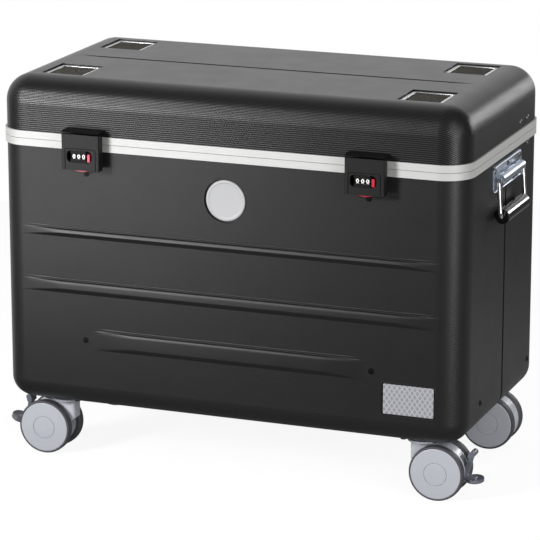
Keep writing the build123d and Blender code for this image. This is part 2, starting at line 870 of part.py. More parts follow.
def release_slide(x):
    """Red slide behind the flap: block in the window, stem and crescent tab under the bottom edge."""
    low = dial_rib_spans()[1][1] + moving_gap
    front = latch_inside + moving_gap
    rear = front + slide_thickness
    window_low = window_z - latch_window_height / 2
    block_low = window_low + moving_gap * 4
    block = span(low, low + slide_width, block_low, block_low + slide_block_height)
    body = along_y(block, latch_face + 2 * moving_gap, rear)
    body += along_y(span(low, low + slide_width, latch_bottom, block_low + slide_block_height), front, rear)
    half = slide_tab_width / 2
    edge = ThreePointArc((-half, latch_bottom), (0, latch_bottom - slide_tab_drop), (half, latch_bottom))
    tab = make_face(edge + Line((half, latch_bottom), (-half, latch_bottom)))
    tab += span(-half, low + slide_width, latch_bottom, latch_bottom + slide_travel)
    return Pos(x) * (body + along_y(tab, front, rear))


def latch_striker(x):
    """Block on the lower shell behind the flap, with the lip that the catch draws on."""
    half = striker_width / 2
    top = seam - frame_height - moving_gap * 4
    front = latch_rear + moving_gap * 2
    body = along_y(span(-half, half, top - striker_height, top), front, shell_front)
    body = fillet(body.edges().filter_by(Axis.Y), striker_corner)
    low, high = dial_rib_spans()[0][1], dial_rib_spans()[1][0]
    room = span(low, high, window_z - dial_radius - striker_corner, top)
    body -= along_y(room, front, shell_front)
    hook_top = window_z - dial_radius - striker_corner - moving_gap
    hook = span(-half / 4, half / 4, top - striker_height, hook_top)
    return Pos(x) * (body + along_y(hook, front - striker_hook, front))


def handle_plate_piece():
    """Zinc-plated plate of the right-hand handle, with the rolled barrel that holds the bail."""
    low = handle_z - handle_plate_height / 2
    outline = Pos(handle_shift, handle_z) * RectangleRounded(
        handle_plate_width, handle_plate_height, handle_plate_corner
    )
    notch = handle_plate_width / 2 - handle_plate_height / 2
    outline -= span(handle_shift - notch, handle_shift - notch * 0.62, low, handle_z)
    outline -= span(handle_shift + notch * 0.62, handle_shift + notch, low, handle_z)
    plate = along_x(outline, shell_side, shell_side + handle_plate)
    offset = handle_x - shell_side
    roll = dot(handle_x, handle_z, handle_barrel_radius)
    roll += span(shell_side + handle_plate / 2, handle_x, handle_z - handle_barrel_radius, handle_z)
    start = handle_shift - handle_barrel_width / 2
    barrel = along_y(roll, start, start + handle_barrel_width)
    step = handle_barrel_width / 4
    for side in (-1, 1):
        middle = handle_shift + side * step
        slot = span(middle - handle_barrel_slot / 2, middle + handle_barrel_slot / 2, handle_z, handle_z + offset)
        barrel -= along_x(slot, shell_side, handle_x)
    body = plate + barrel
    body -= along_y(dot(handle_x, handle_z, bail_radius + running), start, start + handle_barrel_width)
    for y, z in handle_rivet_places():
        body -= along_x(dot(y, z, rivet_radius + hole_clearance), shell_side, shell_side + handle_plate)
    return body


def bail_lean():
    """Lean of the hanging bail, in degrees, that leaves the grip just clear of the shell."""
    out = grip_radius + moving_gap - (handle_x - shell_side)
    return degrees(atan2(out, bail_drop))


def lean_bail(piece):
    """Turns a right-hand handle piece from straight down to where it hangs."""
    pivot = Axis((handle_x, handle_shift, handle_z), (0, 1, 0))
    return piece.rotate(pivot, -bail_lean())


def handle_bail():
    """Bent steel rod of the right-hand handle: stubs in the barrel, legs and the bar under the grip."""
    half = bail_width / 2
    inner = half - bail_stub
    low = handle_z - bail_drop
    corners = ((inner, handle_z), (half, handle_z), (half, low), (-half, low), (-half, handle_z), (-inner, handle_z))
    path = FilletPolyline(*[(handle_x, handle_shift + y, z) for y, z in corners], radius=bail_bend)
    section = Plane(origin=path @ 0, z_dir=path % 0) * Circle(bail_radius)
    return lean_bail(sweep(section, path))


def handle_grip():
    """Moulded grip on the bail's bar."""
    half = bail_width / 2 - bail_radius - grip_gap
    low = handle_z - bail_drop
    sleeve = Circle(grip_radius) - Circle(bail_radius + running)
    body = along_y(Pos(handle_x, low) * sleeve, handle_shift - half, handle_shift + half)
    ends = body.edges().filter_by(GeomType.CIRCLE).sort_by(SortBy.RADIUS)[-2:]
    return lean_bail(fillet(ends, grip_end_radius))


def caster_plate_piece():
    """Fixing plate with its bearing race and swivel stem, about the swivel axis."""
    plan = RectangleRounded(caster_plate_length, caster_plate_width, caster_plate_corner)
    for x, y in bolt_places():
        plan -= dot(x, y, bolt_radius + hole_clearance)
    plate = along_z(plan, plate_bottom, case_clearance)
    race = along_z(Circle(caster_race_radius - bolt_head_radius), hood_top() + moving_gap, plate_bottom)
    stem = along_z(Circle(caster_stem_radius), plate_bottom - caster_stem_length, plate_bottom)
    return plate + race + stem


def hood_top():
    """Height of the hood's swivel head."""
    return plate_bottom - bolt_head - 2 * moving_gap


def caster_hood(braked):
    """Hood between the wheels, trailing along +X from the swivel axis, with its axle and pedal pin."""
    axle_x = caster_trail
    top = hood_top()
    rim = wheel_radius - hood_rim_gap
    shoulder = wheel_radius + rim * 0.94
    lead_low = wheel_radius * 1.35
    outline = Polygon(
        (-hood_lead, lead_low),
        (-hood_lead, top),
        (hood_disc_radius * 0.7, top),
        (axle_x, shoulder),
        (axle_x, wheel_radius - axle_radius * 3),
        (axle_x - axle_radius * 2, wheel_radius - axle_radius * 3),
        (0, wheel_radius),
        align=None,
    )
    fender = Pos(axle_x, wheel_radius) * Circle(rim)
    outline += fender & span(axle_x - axle_radius * 2, axle_x + rim, wheel_radius - rim * 0.5, wheel_radius + rim)
    body = along_y(outline, -hood_width / 2, hood_width / 2)
    body = fillet(body.edges().filter_by(Axis.Z).group_by(Axis.X)[0], hood_lead_edge)
    arcs = body.edges().filter_by(GeomType.CIRCLE).filter_by(lambda edge: abs(edge.radius - rim) < moving_gap)
    body = fillet(arcs, hood_rim_edge)
    body += along_z(Circle(hood_disc_radius), top - hood_disc, top)
    bore_low = plate_bottom - caster_stem_length - 2 * moving_gap
    body -= along_z(Circle(caster_stem_radius + running), bore_low, top)
    body -= along_y(dot(axle_x, wheel_radius, axle_radius), -hood_width / 2, hood_width / 2)
    reach = wheel_gap / 2 + wheel_width * 0.7
    pieces = [body, along_y(dot(axle_x, wheel_radius, axle_radius), -reach, reach)]
    if braked:
        pivot_x, pivot_z = pedal_pivot()
        slot = span(axle_x + axle_radius * 2, axle_x + wheel_radius, 0, wheel_radius + hood_slot_rise)
        slot_half = pedal_arm_width / 2 + moving_gap
        pieces[0] -= along_y(slot, -slot_half, slot_half)
        pieces[0] -= along_y(dot(pivot_x, pivot_z, pedal_pin_radius), -hood_width / 2, hood_width / 2)
        pieces.append(along_y(dot(pivot_x, pivot_z, pedal_pin_radius), -hood_width / 2, hood_width / 2))
    return group(*pieces)


def pedal_pivot():
    """X and Z of the pedal's pivot from the swivel axis and the floor."""
    return caster_trail + pedal_pivot_back, wheel_radius - pedal_pivot_drop


def bar_between(start, end, width):
    """Bar with round ends in its plane."""
    across = (end[0] - start[0], end[1] - start[1])
    slot = SlotCenterToCenter(hypot(*across), width, degrees(atan2(across[1], across[0])))
    return Pos((start[0] + end[0]) / 2, (start[1] + end[1]) / 2) * slot


def pedal_pad():
    """Spoon-shaped foot pad: an oval with a dished top and rounded rim, its outer end tipped up."""
    oval = Ellipse(pedal_pad_length / 2, pedal_pad_width / 2)
    pad = along_z(oval, -pedal_thickness / 2, pedal_thickness / 2)
    pad = fillet(pad.edges(), pedal_edge)
    dish_radius = (pedal_pad_width / 2) ** 2 / (2 * pedal_dish)
    dish = Pos(0, 0, pedal_thickness / 2 - pedal_dish + dish_radius) * Sphere(dish_radius)
    return Pos(pedal_pad_out, 0, -pedal_pad_drop) * Rot(0, -pedal_pad_tilt, 0) * (pad - dish)


def brake_pedal(pressed):
    """Rocking pedal: hub between the wheels, spoon-shaped pad behind them, and a release lever above."""
    pivot_x, pivot_z = pedal_pivot()
    half = pedal_arm_width / 2
    elbow = (pedal_elbow_out, -pedal_elbow_drop)
    neck = (pedal_neck_out, pedal_neck_rise)
    tip = (pedal_tip_out, pedal_tip_rise)
    arm = Circle(pedal_hub_radius) + bar_between((0, 0), elbow, pedal_thickness)
    arm += bar_between(elbow, (pedal_pad_out, -pedal_pad_drop), pedal_thickness)
    arm += bar_between(elbow, neck, pedal_thickness) + bar_between(neck, tip, pedal_thickness)
    body = along_y(arm, -half, half) + pedal_pad()
    thumb = bar_between(tip, (tip[0] + pedal_tip_radius / 2, tip[1] + pedal_tip_radius), 2 * pedal_tip_radius)
    thumb = along_y(thumb, -pedal_tip_width / 2, pedal_tip_width / 2)
    body += fillet(thumb.edges(), pedal_edge)
    body -= along_y(dot(0, 0, pedal_pin_radius + running), -half, half)
    turn = pedal_swing / 2 - (pedal_swing if pressed else 0)
    return Pos(pivot_x, 0, pivot_z) * body.rotate(Axis.Y, -turn)


def wheel(direction):
    """Wheel on one side of a hood: tread ring on a core with a domed cover, about the axle."""
    inner = wheel_gap / 2
    outer = inner + wheel_width
    core = wheel_radius - tread_thickness
    cover = wheel_cover_radius
    lip = outer - wheel_width * 0.18
    tread = Polygon(
        (core, inner),
        (wheel_radius - tread_thickness * 0.4, inner),
        (wheel_radius, inner + wheel_width * 0.16),
        (wheel_radius, outer - wheel_width * 0.3),
        (cover + tread_thickness * 0.25, outer - wheel_width * 0.06),
        (cover, outer - wheel_width * 0.06),
        (cover, lip),
        (core, lip),
        align=None,
    )
    line = wheel_cap_line
    bore_end = inner + wheel_width * 0.75
    disc = Polygon(
        (axle_radius + running, inner),
        (core, inner),
        (core, lip),
        (cover, lip),
        (cover, outer - wheel_width * 0.04),
        (cover - line, outer),
        (wheel_cap_radius + line, outer),
        (wheel_cap_radius, outer - line),
        (wheel_cap_radius - line, outer),
        (wheel_cap_radius * 0.6, outer + line / 2),
        (0, outer + line / 2),
        (0, bore_end),
        (axle_radius + running, bore_end),
        align=None,
    )
    solids = [revolve(Plane.YZ * Rot(0, 0, 90) * mirror(shape, about=Plane.YZ), Axis.Y) for shape in (tread, disc)]
    pair = [Pos(caster_trail, 0, wheel_radius) * solid for solid in solids]
    return group(*(pair if direction > 0 else [mirror(solid, about=Plane.XZ) for solid in pair]))


def floor_plate():
    """Board over the caster fixings, inside the shell's rounded bottom."""
    width = shell_width - 2 * base_edge_radius
    depth = shell_depth - 2 * base_edge_radius
    return along_z(RectangleRounded(width, depth, shell_corner / 2), floor_top - floor_thickness, floor_top)


def divider_rows():
    """Y of each divider."""
    depth = shell_depth - 2 * (shell_wall + rack_end_gap) - divider_thickness
    pitch = depth / slot_count
    return [-depth / 2 + index * pitch for index in range(slot_count + 1)]


def divider_rack():
    """Grooved base with two low end walls."""
    low, high = rack_limits()
    rows = divider_rows()
    front = rows[0] - divider_thickness * 1.5
    back = rows[-1] + divider_thickness * 1.5
    top = floor_top + rack_base
    body = along_z(span(low, high, front, back), floor_top, top)
    for start in (low, high - rack_end):
        body += along_x(span(front, back, floor_top, floor_top + rack_end_height), start, start + rack_end)
    half = divider_thickness / 2 + hole_clearance
    for row in rows:
        groove = span(low + rack_end, high - rack_end, row - half, row + half)
        body -= along_z(groove, top - rack_groove, top)
    return body


def slot_dividers():
    """Sheets that stand in the rack's grooves, with rounded top corners."""
    low, high = rack_limits()
    low += rack_end + hole_clearance
    high -= rack_end + hole_clearance
    bottom = floor_top + rack_base - rack_groove
    top = floor_top + rack_base + laptop_height
    sheet = span(low, high, bottom, top)
    sheet = fillet(sheet.vertices().group_by(Axis.Y)[-1], divider_corner)
    half = divider_thickness / 2
    return group(*[along_y(sheet, row - half, row + half) for row in divider_rows()])


def bay_depth():
    """Front and back Y of the charger housing."""
    half = shell_back - shell_wall - housing_end_gap
    return -half, half


def charger_housing():
    """Sheet-metal box over the power supply, with cooling slots and the hole for the mains lead."""
    low, high = bay_limits()
    front, back = bay_depth()
    top = floor_top + housing_height
    body = along_z(span(low, high, front, back), floor_top, top)
    wall = housing_wall
    body -= along_z(span(low + wall, high - wall, front + wall, back - wall), floor_top + wall, top - wall)
    x, z = inlet_place()
    body -= along_y(dot(x, z, lead_radius + hole_clearance), back - wall, back)
    slot = SlotOverall(housing_slot_length, housing_slot_width, 90)
    slots = Sketch() + GridLocations(housing_slot_pitch, 0, housing_slot_count, 1) * slot
    return body - along_y(Pos((low + high) / 2, floor_top + housing_height * 0.65) * slots, front, front + wall)


def power_supply():
    """Switched supply on the housing's floor."""
    low, high = bay_limits()
    x = (low + high) / 2
    bottom = floor_top + housing_wall
    body = along_z(Pos(x, 0) * Rectangle(supply_width, supply_length), bottom, bottom + supply_height)
    return fillet(body.edges().filter_by(Axis.Z), supply_corner)


def lead_gland_strip():
    """Bar on the housing with a row of glands where the laptop leads come out."""
    low, high = bay_limits()
    front, back = bay_depth()
    x = (low + high) / 2
    bottom = floor_top + housing_height
    length = back - front - 2 * strip_margin
    bar = along_z(Pos(x, 0) * RectangleRounded(strip_width, length, strip_corner), bottom, bottom + strip_height)
    pitch = length / gland_count
    for index in range(gland_count):
        y = -length / 2 + (index + 0.5) * pitch
        bar += along_z(dot(x, y, gland_radius), bottom + strip_height, bottom + strip_height + gland_height)
    return bar


def mains_inlet():
    """Panel inlet in the back: flange, body through the wall, three-pin socket and seat for the rocker switch."""
    x, z = inlet_place()
    flange = RectangleRounded(inlet_width, inlet_height, inlet_corner)
    body = along_y(flange, shell_back, shell_back + inlet_flange)
    inner = Rectangle(inlet_width - 2 * inlet_margin, inlet_height - 2 * inlet_margin)
    body += along_y(inner, shell_back - inlet_body_depth, shell_back)
    left, right = inlet_halves()
    mouth = shell_back + inlet_flange
    socket = Pos(left) * RectangleRounded(socket_width, socket_height, socket_corner)
    body -= along_y(socket, mouth - socket_depth, mouth)
    spread, offset = socket_pin_spread, socket_pin_offset
    for across, up in ((-spread, -offset), (spread, -offset), (0, offset)):
        pin = Pos(left + across, up) * Rectangle(socket_pin, socket_pin * 2)
        body += along_y(pin, mouth - socket_depth, mouth - socket_pin * 2)
    room = moving_gap * 2
    sweep_height = 2 * hypot(rocker_height / 2, rocker_depth)
    seat = Pos(right) * Rectangle(rocker_width + room, sweep_height + room)
    body -= along_y(seat, mouth - 2 * rocker_depth, mouth)
    pin_y = mouth - rocker_depth
    half = rocker_width / 2 + moving_gap * 3
    body -= along_x(dot(pin_y, 0, rocker_pin_radius + running), right - half, right + half)
    return Pos(x, 0, z) * body


def inlet_halves():
    """X of the socket and of the rocker from the inlet's middle."""
    free = inlet_width - 2 * inlet_margin - socket_width - rocker_width
    left = -inlet_width / 2 + inlet_margin + free / 3 + socket_width / 2
    return left, inlet_width / 2 - inlet_margin - free / 3 - rocker_width / 2


def rocker_switch():
    """Rocker on its stub pins, resting at off."""
    x, z = inlet_place()
    right = inlet_halves()[1]
    half = rocker_height / 2
    pin_y = shell_back + inlet_flange - rocker_depth
    dip = half * sin(radians(rocker_tilt))
    outline = Polygon(
        (pin_y - rocker_depth / 2, -half * 0.7),
        (pin_y + rocker_depth, -half),
        (pin_y + rocker_depth - dip, 0),
        (pin_y + rocker_depth, half),
        (pin_y - rocker_depth / 2, half * 0.7),
        align=None,
    )
    width = rocker_width / 2
    body = along_x(outline, right - width, right + width)
    stub = width + moving_gap * 2
    body += along_x(dot(pin_y, 0, rocker_pin_radius), right - stub, right + stub)
    body = body.rotate(Axis((0, pin_y, 0), (1, 0, 0)), -rocker_tilt)
    return Pos(x, 0, z) * body


def terminal_cover():
    """Moulded cover over the terminals between the inlet and the charger housing."""
    x, z = inlet_place()
    width = inlet_width - 2 * (inlet_margin + terminal_cover_margin)
    height = inlet_height - 2 * (inlet_margin + terminal_cover_margin)
    outline = Pos(x, z) * RectangleRounded(width, height, terminal_cover_corner)
    outline -= dot(x, z, lead_radius + hole_clearance)
    return along_y(outline, bay_depth()[1], shell_back - inlet_body_depth)


def badge_disc():
    """Blank round badge with a raised rim."""
    z = seam - badge_drop
    floor = shell_front + badge_pocket_depth
    body = along_y(dot(0, z, badge_radius), floor - badge_thickness, floor)
    return body - along_y(dot(0, z, badge_radius * 0.92), floor - badge_thickness, floor - badge_thickness * 0.8)


def label_plate():
    """Blank label in its recess."""
    x, z = label_middle()
    floor = shell_front + label_pocket_depth
    return along_y(Pos(x, z) * RectangleRounded(label_width, label_height, label_corner), floor - label_thickness, floor)


def build_nodes():
    """Every node of the trolley by name, about the middle of the case."""
    hinge_lower = hinge_leaves(-1)
    link, arm = stay_pair()
    nodes = {
        "lower_shell": lower_shell(),
        "lower_frame": lower_frame(),
        "frame_gasket": frame_gasket(),
        "floor_plate": floor_plate(),
        "hinge_leaf_lower": group(*hinge_lower, *hinge_pins()),
        "latch_strikers": group(*[latch_striker(x) for _, x in latch_places()]),
        "handle_plates": both_ends(handle_plate_piece()),
        "steel_fasteners": steel_fasteners(),
        "black_screws": black_screws(),
        "badge_disc": badge_disc(),
        "label_plate": label_plate(),
        "divider_rack": divider_rack(),
        "slot_dividers": slot_dividers(),
        "charger_housing": charger_housing(),
        "lead_gland_strip": lead_gland_strip(),
        "power_supply": power_supply(),
        "mains_inlet": mains_inlet(),
        "terminal_cover": terminal_cover(),
        "rocker_switch": rocker_switch(),
        "lid_shell": lid_shell(),
        "upper_frame": butted(frame_half(1)),
        "hinge_leaf_upper": group(*hinge_leaves(1)),
        "latch_brackets": group(*[piece for _, x in latch_places() for piece in (latch_bracket(x), latch_pin(x))]),
        "vent_frames": group(*[vent_frame(x, y) for x, y in vent_places()]),
        "vent_meshes": group(*[vent_mesh(x, y) for x, y in vent_places()]),
        "lid_rivets": lid_rivets(),
        "stay_link_right": link,
        "stay_arm_right": arm,
        "stay_link_left": mirror(link, about=Plane.YZ),
        "stay_arm_left": mirror(arm, about=Plane.YZ),
        "handle_bail_right": handle_bail(),
        "handle_grip_right": handle_grip(),
        "handle_bail_left": mirror(handle_bail(), about=Plane.YZ),
        "handle_grip_left": mirror(handle_grip(), about=Plane.YZ),
    }
    for name, x in latch_places():
        nodes[f"latch_flap_{name}"] = latch_flap(x)
        nodes[f"release_slide_{name}"] = release_slide(x)
        for index in range(3):
            nodes[f"dial_{name}_{index + 1}"] = dial(x, index)
    plates = []
    for name, x, y, turn in caster_places():
        place = Pos(x, y) * Rot(0, 0, turn)
        plates.append(place * caster_plate_piece())
        front = name.startswith("front")
        nodes[f"caster_hood_{name}"] = place * caster_hood(front)
        nodes[f"wheel_{name}_front"] = place * wheel(1 if turn else -1)
        nodes[f"wheel_{name}_rear"] = place * wheel(-1 if turn else 1)
        if front:
            nodes[f"brake_pedal_{name}"] = place * brake_pedal(name.endswith("right"))
    nodes["caster_plates"] = group(*plates)
    return nodes


os.makedirs("parts", exist_ok=True)
for node_name, shape in build_nodes().items():
    export_step(Pos(0, depth_shift, 0) * shape, f"parts/{node_name}.step")
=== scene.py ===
"""Looks of a laptop charging trolley: a black hard case with an aluminium rim on twin-wheel casters."""

from __future__ import annotations

import json
import logging
import math
from collections.abc import Callable, Iterable, Mapping, Sequence
from dataclasses import dataclass, field, replace
from enum import Enum
from typing import Any

import bmesh
import bpy
from mathutils import Matrix, Vector

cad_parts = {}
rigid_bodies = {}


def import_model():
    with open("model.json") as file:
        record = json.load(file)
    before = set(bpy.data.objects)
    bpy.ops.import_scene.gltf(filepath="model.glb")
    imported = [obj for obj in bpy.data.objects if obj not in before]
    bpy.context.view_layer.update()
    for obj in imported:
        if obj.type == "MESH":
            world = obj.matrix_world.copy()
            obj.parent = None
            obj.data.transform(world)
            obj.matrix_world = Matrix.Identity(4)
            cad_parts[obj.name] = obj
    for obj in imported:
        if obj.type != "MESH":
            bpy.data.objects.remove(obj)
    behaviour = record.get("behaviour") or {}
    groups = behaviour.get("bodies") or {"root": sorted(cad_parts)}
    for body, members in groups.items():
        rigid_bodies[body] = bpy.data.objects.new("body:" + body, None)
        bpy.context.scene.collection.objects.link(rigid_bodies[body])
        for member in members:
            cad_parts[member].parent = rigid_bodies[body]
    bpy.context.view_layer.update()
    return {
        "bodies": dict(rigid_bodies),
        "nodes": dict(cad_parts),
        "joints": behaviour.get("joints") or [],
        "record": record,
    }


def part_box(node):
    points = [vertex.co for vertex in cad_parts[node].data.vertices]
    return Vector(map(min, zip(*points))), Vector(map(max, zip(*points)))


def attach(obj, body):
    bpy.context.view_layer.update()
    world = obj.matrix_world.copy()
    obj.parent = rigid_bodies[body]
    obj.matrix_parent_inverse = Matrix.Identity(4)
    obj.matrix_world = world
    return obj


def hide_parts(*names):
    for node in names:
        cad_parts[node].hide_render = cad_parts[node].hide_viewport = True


Tree = bpy.types.NodeTree
Node = bpy.types.Node
Socket = bpy.types.NodeSocket
Mesh = bpy.types.Mesh
Draft = bmesh.types.BMesh
Loop = list[bmesh.types.BMVert]
Point = tuple[float, float]
Spot = tuple[float, float, float]

LOG = logging.getLogger("trolley")
FRAME: dict[str, Any] = {}
MM = 0.001
FRAME_PIXELS = 540
SENSOR_MM = 36.0
# The case's middle lies this far behind the origin, which is the middle of the whole trolley.
DEPTH_SHIFT = 4.35 * MM
# The stamped ribs stand this far in front of the lower shell's face.
RIB_PROUD = 3.0 * MM


class Body(str, Enum):
    """Bodies that scene pieces ride on by one fixed name."""

    CASE = "case"
    LID = "lid"


class Side(Enum):
    """Left or right end of the trolley, as the sign of X."""

    LEFT = -1
    RIGHT = 1

    @property
    def word(self) -> str:
        """Lower-case name that the CAD nodes use."""
        return self.name.lower()


# Nodes


def srgb(code: str) -> tuple[float, float, float, float]:
    """Turns an sRGB hex colour into linear light.

    Args:
        code: Colour such as "#1c1d1f".

    Returns:
        Linear red, green, blue and an alpha of one.
    """
    parts = [int(code[place : place + 2], 16) / 255 for place in (1, 3, 5)]
    linear = [value / 12.92 if value <= 0.04045 else ((value + 0.055) / 1.055) ** 2.4 for value in parts]
    return (linear[0], linear[1], linear[2], 1.0)


def put(tree: Tree, kind: str, feeds: Mapping[int | str, Any] | None = None, **settings: Any) -> Node:
    """Adds a node with its settings, values and links.

    Args:
        tree: Node tree that takes the node.
        kind: Blender's name of the node type.
        feeds: Input name or index to a socket that feeds it, or to a plain value.
        **settings: Attributes of the node itself.

    Returns:
        The new node.
    """
    node = tree.nodes.new(kind)
    for key, value in settings.items():
        setattr(node, key, value)
    for key, value in (feeds or {}).items():
        if isinstance(value, Socket):
            tree.links.new(value, node.inputs[key])
        else:
            node.inputs[key].default_value = value
    return node


def calc(tree: Tree, operation: str, *terms: Socket | float) -> Socket:
    """Adds one step of arithmetic.

    Args:
        tree: Node tree that takes the node.
        operation: Blender's name of the operation.
        *terms: Its terms, as sockets or plain values.

    Returns:
        Socket of the result.
    """
    return put(tree, "ShaderNodeMath", dict(enumerate(terms)), operation=operation).outputs[0]


def ramp(tree: Tree, value: Socket, given: Point, wanted: Sequence[Socket | float], **settings: Any) -> Socket:
    """Maps one range of values onto another, and holds it at both ends.

    Args:
        tree: Node tree that takes the node.
        value: Value to map.
        given: Its range.
        wanted: Results at the two ends of that range.
        **settings: Attributes of the node itself.

    Returns:
        Socket of the mapped value.
    """
    return put(tree, "ShaderNodeMapRange", dict(enumerate((value, *given, *wanted))), **settings).outputs[0]


def along(tree: Tree, place: Socket, way: Spot) -> Socket:
    """Measures how far places lie along a direction.

    Args:
        tree: Node tree that takes the node.
        place: Coordinates.
        way: Direction, as long as the wanted scale.

    Returns:
        Socket of the scaled distance.
    """
    return put(tree, "ShaderNodeVectorMath", {0: place, 1: way}, operation="DOT_PRODUCT").outputs["Value"]


# Finishes


@dataclass(frozen=True)
class Coat:
    """A material's nodes while a finish is laid on them."""

    finish: Finish
    tree: Tree
    shader: Node
    place: Socket

    def feed(self, inlet: str, socket: Socket) -> None:
        """Links a socket to the shader."""
        self.tree.links.new(socket, self.shader.inputs[inlet])

    def noise(self, grain_mm: float) -> Socket:
        """Adds soft noise of one grain size, with values around one half."""
        feeds = {"Vector": self.place, "Scale": 1 / (grain_mm * MM), "Detail": 2.0, "Roughness": 0.55}
        return put(self.tree, "ShaderNodeTexNoise", feeds).outputs[0]

    def lines(self, distance: Socket, pitch_mm: float) -> Socket:
        """Adds uneven lines that follow one another along a distance."""
        feeds = {"W": distance, "Scale": 1 / (pitch_mm * MM)}
        return put(self.tree, "ShaderNodeTexNoise", feeds, noise_dimensions="1D").outputs[0]

    def wave(self, way: Spot) -> Socket:
        """Adds an even wave along a direction, from minus one to one."""
        return calc(self.tree, "SINE", along(self.tree, self.place, way))

    def shades(self, mask: Socket, low: float, high: float) -> None:
        """Lets the colour drift between two strengths of itself.

        Args:
            mask: Pattern from zero to one.
            low: Strength at zero.
            high: Strength at one.
        """
        base = srgb(self.finish.colour)[:3]
        ends = [tuple(min(1.0, value * strength) for value in base) + (1.0,) for strength in (low, high)]
        mix = put(self.tree, "ShaderNodeMix", {0: mask, 6: ends[0], 7: ends[1]}, data_type="RGBA")
        self.feed("Base Color", mix.outputs[2])

    def tint(self, mask: Socket) -> None:
        """Lets the colour drift lighter and darker by the finish's fleck."""
        self.shades(mask, 1 - self.finish.fleck, 1 + self.finish.fleck)

    def relief(self, height: Socket) -> None:
        """Raises a pattern from zero to one out of the surface."""
        feeds = {"Height": height, "Distance": self.finish.relief_mm * MM, "Strength": 1.0}
        self.feed("Normal", put(self.tree, "ShaderNodeBump", feeds).outputs[0])

    def gloss(self, mask: Socket) -> None:
        """Lets the roughness drift with a pattern from zero to one."""
        rough, drift = self.finish.roughness, self.finish.drift
        self.feed("Roughness", ramp(self.tree, mask, (0.0, 1.0), (max(0.02, rough - drift), min(1.0, rough + drift))))


@dataclass(frozen=True)
class Finish:
    """A surface as it was made: its colour, gloss and fine relief."""

    name: str
    colour: str
    roughness: float
    metallic: float = 0.0
    ior: float = 1.5
    fleck: float = 0.06
    fleck_mm: float = 3.0
    drift: float = 0.05
    relief_mm: float = 0.02

    def build(self) -> bpy.types.Material:
        """Makes the material, or returns the one already made.

        Returns:
            The Blender material of this finish.
        """
        known = bpy.data.materials.get(self.name)
        if known is not None:
            return known
        material = bpy.data.materials.new(self.name)
        material.use_nodes = True
        tree = material.node_tree
        shader = tree.nodes["Principled BSDF"]
        shader.inputs["Metallic"].default_value = self.metallic
        if not self.metallic:
            shader.inputs["IOR"].default_value = self.ior
        shader.inputs["Roughness"].default_value = self.roughness
        self.dress(Coat(self, tree, shader, put(tree, "ShaderNodeTexCoord").outputs["Object"]))
        return material

    def dress(self, coat: Coat) -> None:
        """Adds the finish's own pattern.

        Args:
            coat: Nodes of the material.
        """
        flecks = coat.noise(self.fleck_mm)
        coat.tint(flecks)
        coat.gloss(flecks)
        coat.relief(flecks)


DIAGONAL = math.sqrt(0.5)


class Grain(Enum):
    """Emboss of a plastic sheet, as the weight and the direction of each wave in it."""

    CROSSED = (
        (1.0, (DIAGONAL, DIAGONAL, DIAGONAL)),
        (1.0, (DIAGONAL, DIAGONAL, -DIAGONAL)),
        (1.0, (DIAGONAL, -DIAGONAL, DIAGONAL)),
    )
    ROWS = ((1.0, (0.0, 1.0, 1.0)), (0.22, (0.7, 0.5, 0.5)))


@dataclass(frozen=True)
class GrainedAbs(Finish):
    """Thermoformed ABS sheet with an embossed grain, which breaks the light into a soft speckle."""

    fleck: float = 0.35
    drift: float = 0.04
    cloud_mm: float = 40.0
    grain: Grain = Grain.CROSSED
    pitch_mm: float = 2.3
    sheen: float = 0.3
    top_slope: Point = (0.5, 0.95)
    top_share: float = 0.2

    def dress(self, coat: Coat) -> None:
        """Adds the embossed grain: crossing diagonals, or rows of short dashes on the lid, with painted shade and a
        painted drop in sheen in its hollows.

        Args:
            coat: Nodes of the material.
        """
        # The real emboss is about 1 mm fine; it is drawn coarser so that it shows in a small picture.
        turns = math.tau / (self.pitch_mm * MM)
        total: Socket | float = 0.0
        for weight, way in self.grain.value:
            wave = coat.wave(tuple(turns * part for part in way))
            total = calc(coat.tree, "MULTIPLY_ADD", wave, weight, total)
        reach = sum(weight for weight, _ in self.grain.value)
        waves = ramp(coat.tree, total, (-reach, reach), (0.0, 1.0))
        # The forming stretches the sheet over the lid's top, so the grain fades there.
        normal = put(coat.tree, "ShaderNodeTexCoord").outputs["Normal"]
        upward = put(coat.tree, "ShaderNodeSeparateXYZ", {0: normal}).outputs[2]
        fade = ramp(coat.tree, upward, self.top_slope, (1.0, self.top_share))
        grain = put(coat.tree, "ShaderNodeMix", {0: fade, 2: 0.5, 3: waves}).outputs[0]
        # Painted shade: the grain darkens the colour and lowers the specular level in its hollows, so the emboss
        # shows as a speckle of light and shade.
        coat.tint(grain)
        coat.relief(grain)
        coat.feed("Specular IOR Level", ramp(coat.tree, grain, (0.0, 1.0), (0.5 - self.sheen, 0.5 + self.sheen)))
        coat.gloss(coat.noise(self.cloud_mm))


@dataclass(frozen=True)
class DrawnMetal(Finish):
    """Extruded or rolled metal with fine lines left along its length by the die."""

    drift: float = 0.06
    relief_mm: float = 0.03
    cloud_mm: float = 12.0
    line_mm: float = 0.9
    across: Spot = (0.0, 0.0, 1.0)

    def dress(self, coat: Coat) -> None:
        """Adds the die lines, which follow one another across the profile, and a slight drift of gloss.

        Args:
            coat: Nodes of the material.
        """
        lines = coat.lines(along(coat.tree, coat.place, self.across), self.line_mm)
        coat.tint(lines)
        coat.relief(lines)
        coat.gloss(coat.noise(self.cloud_mm))


@dataclass(frozen=True)
class SpunMetal(Finish):
    """Turned metal disc, with fine rings about its middle."""

    middle: Spot = (0.0, 0.0, 0.0)
    ring_mm: float = 0.8

    def dress(self, coat: Coat) -> None:
        """Adds the turning marks.

        Args:
            coat: Nodes of the material.
        """
        feeds = {0: coat.place, 1: self.middle}
        offset = put(coat.tree, "ShaderNodeVectorMath", feeds, operation="SUBTRACT").outputs[0]
        radius = put(coat.tree, "ShaderNodeVectorMath", {0: offset}, operation="LENGTH").outputs["Value"]
        rings = coat.lines(radius, self.ring_mm)
        coat.tint(rings)
        coat.relief(rings)


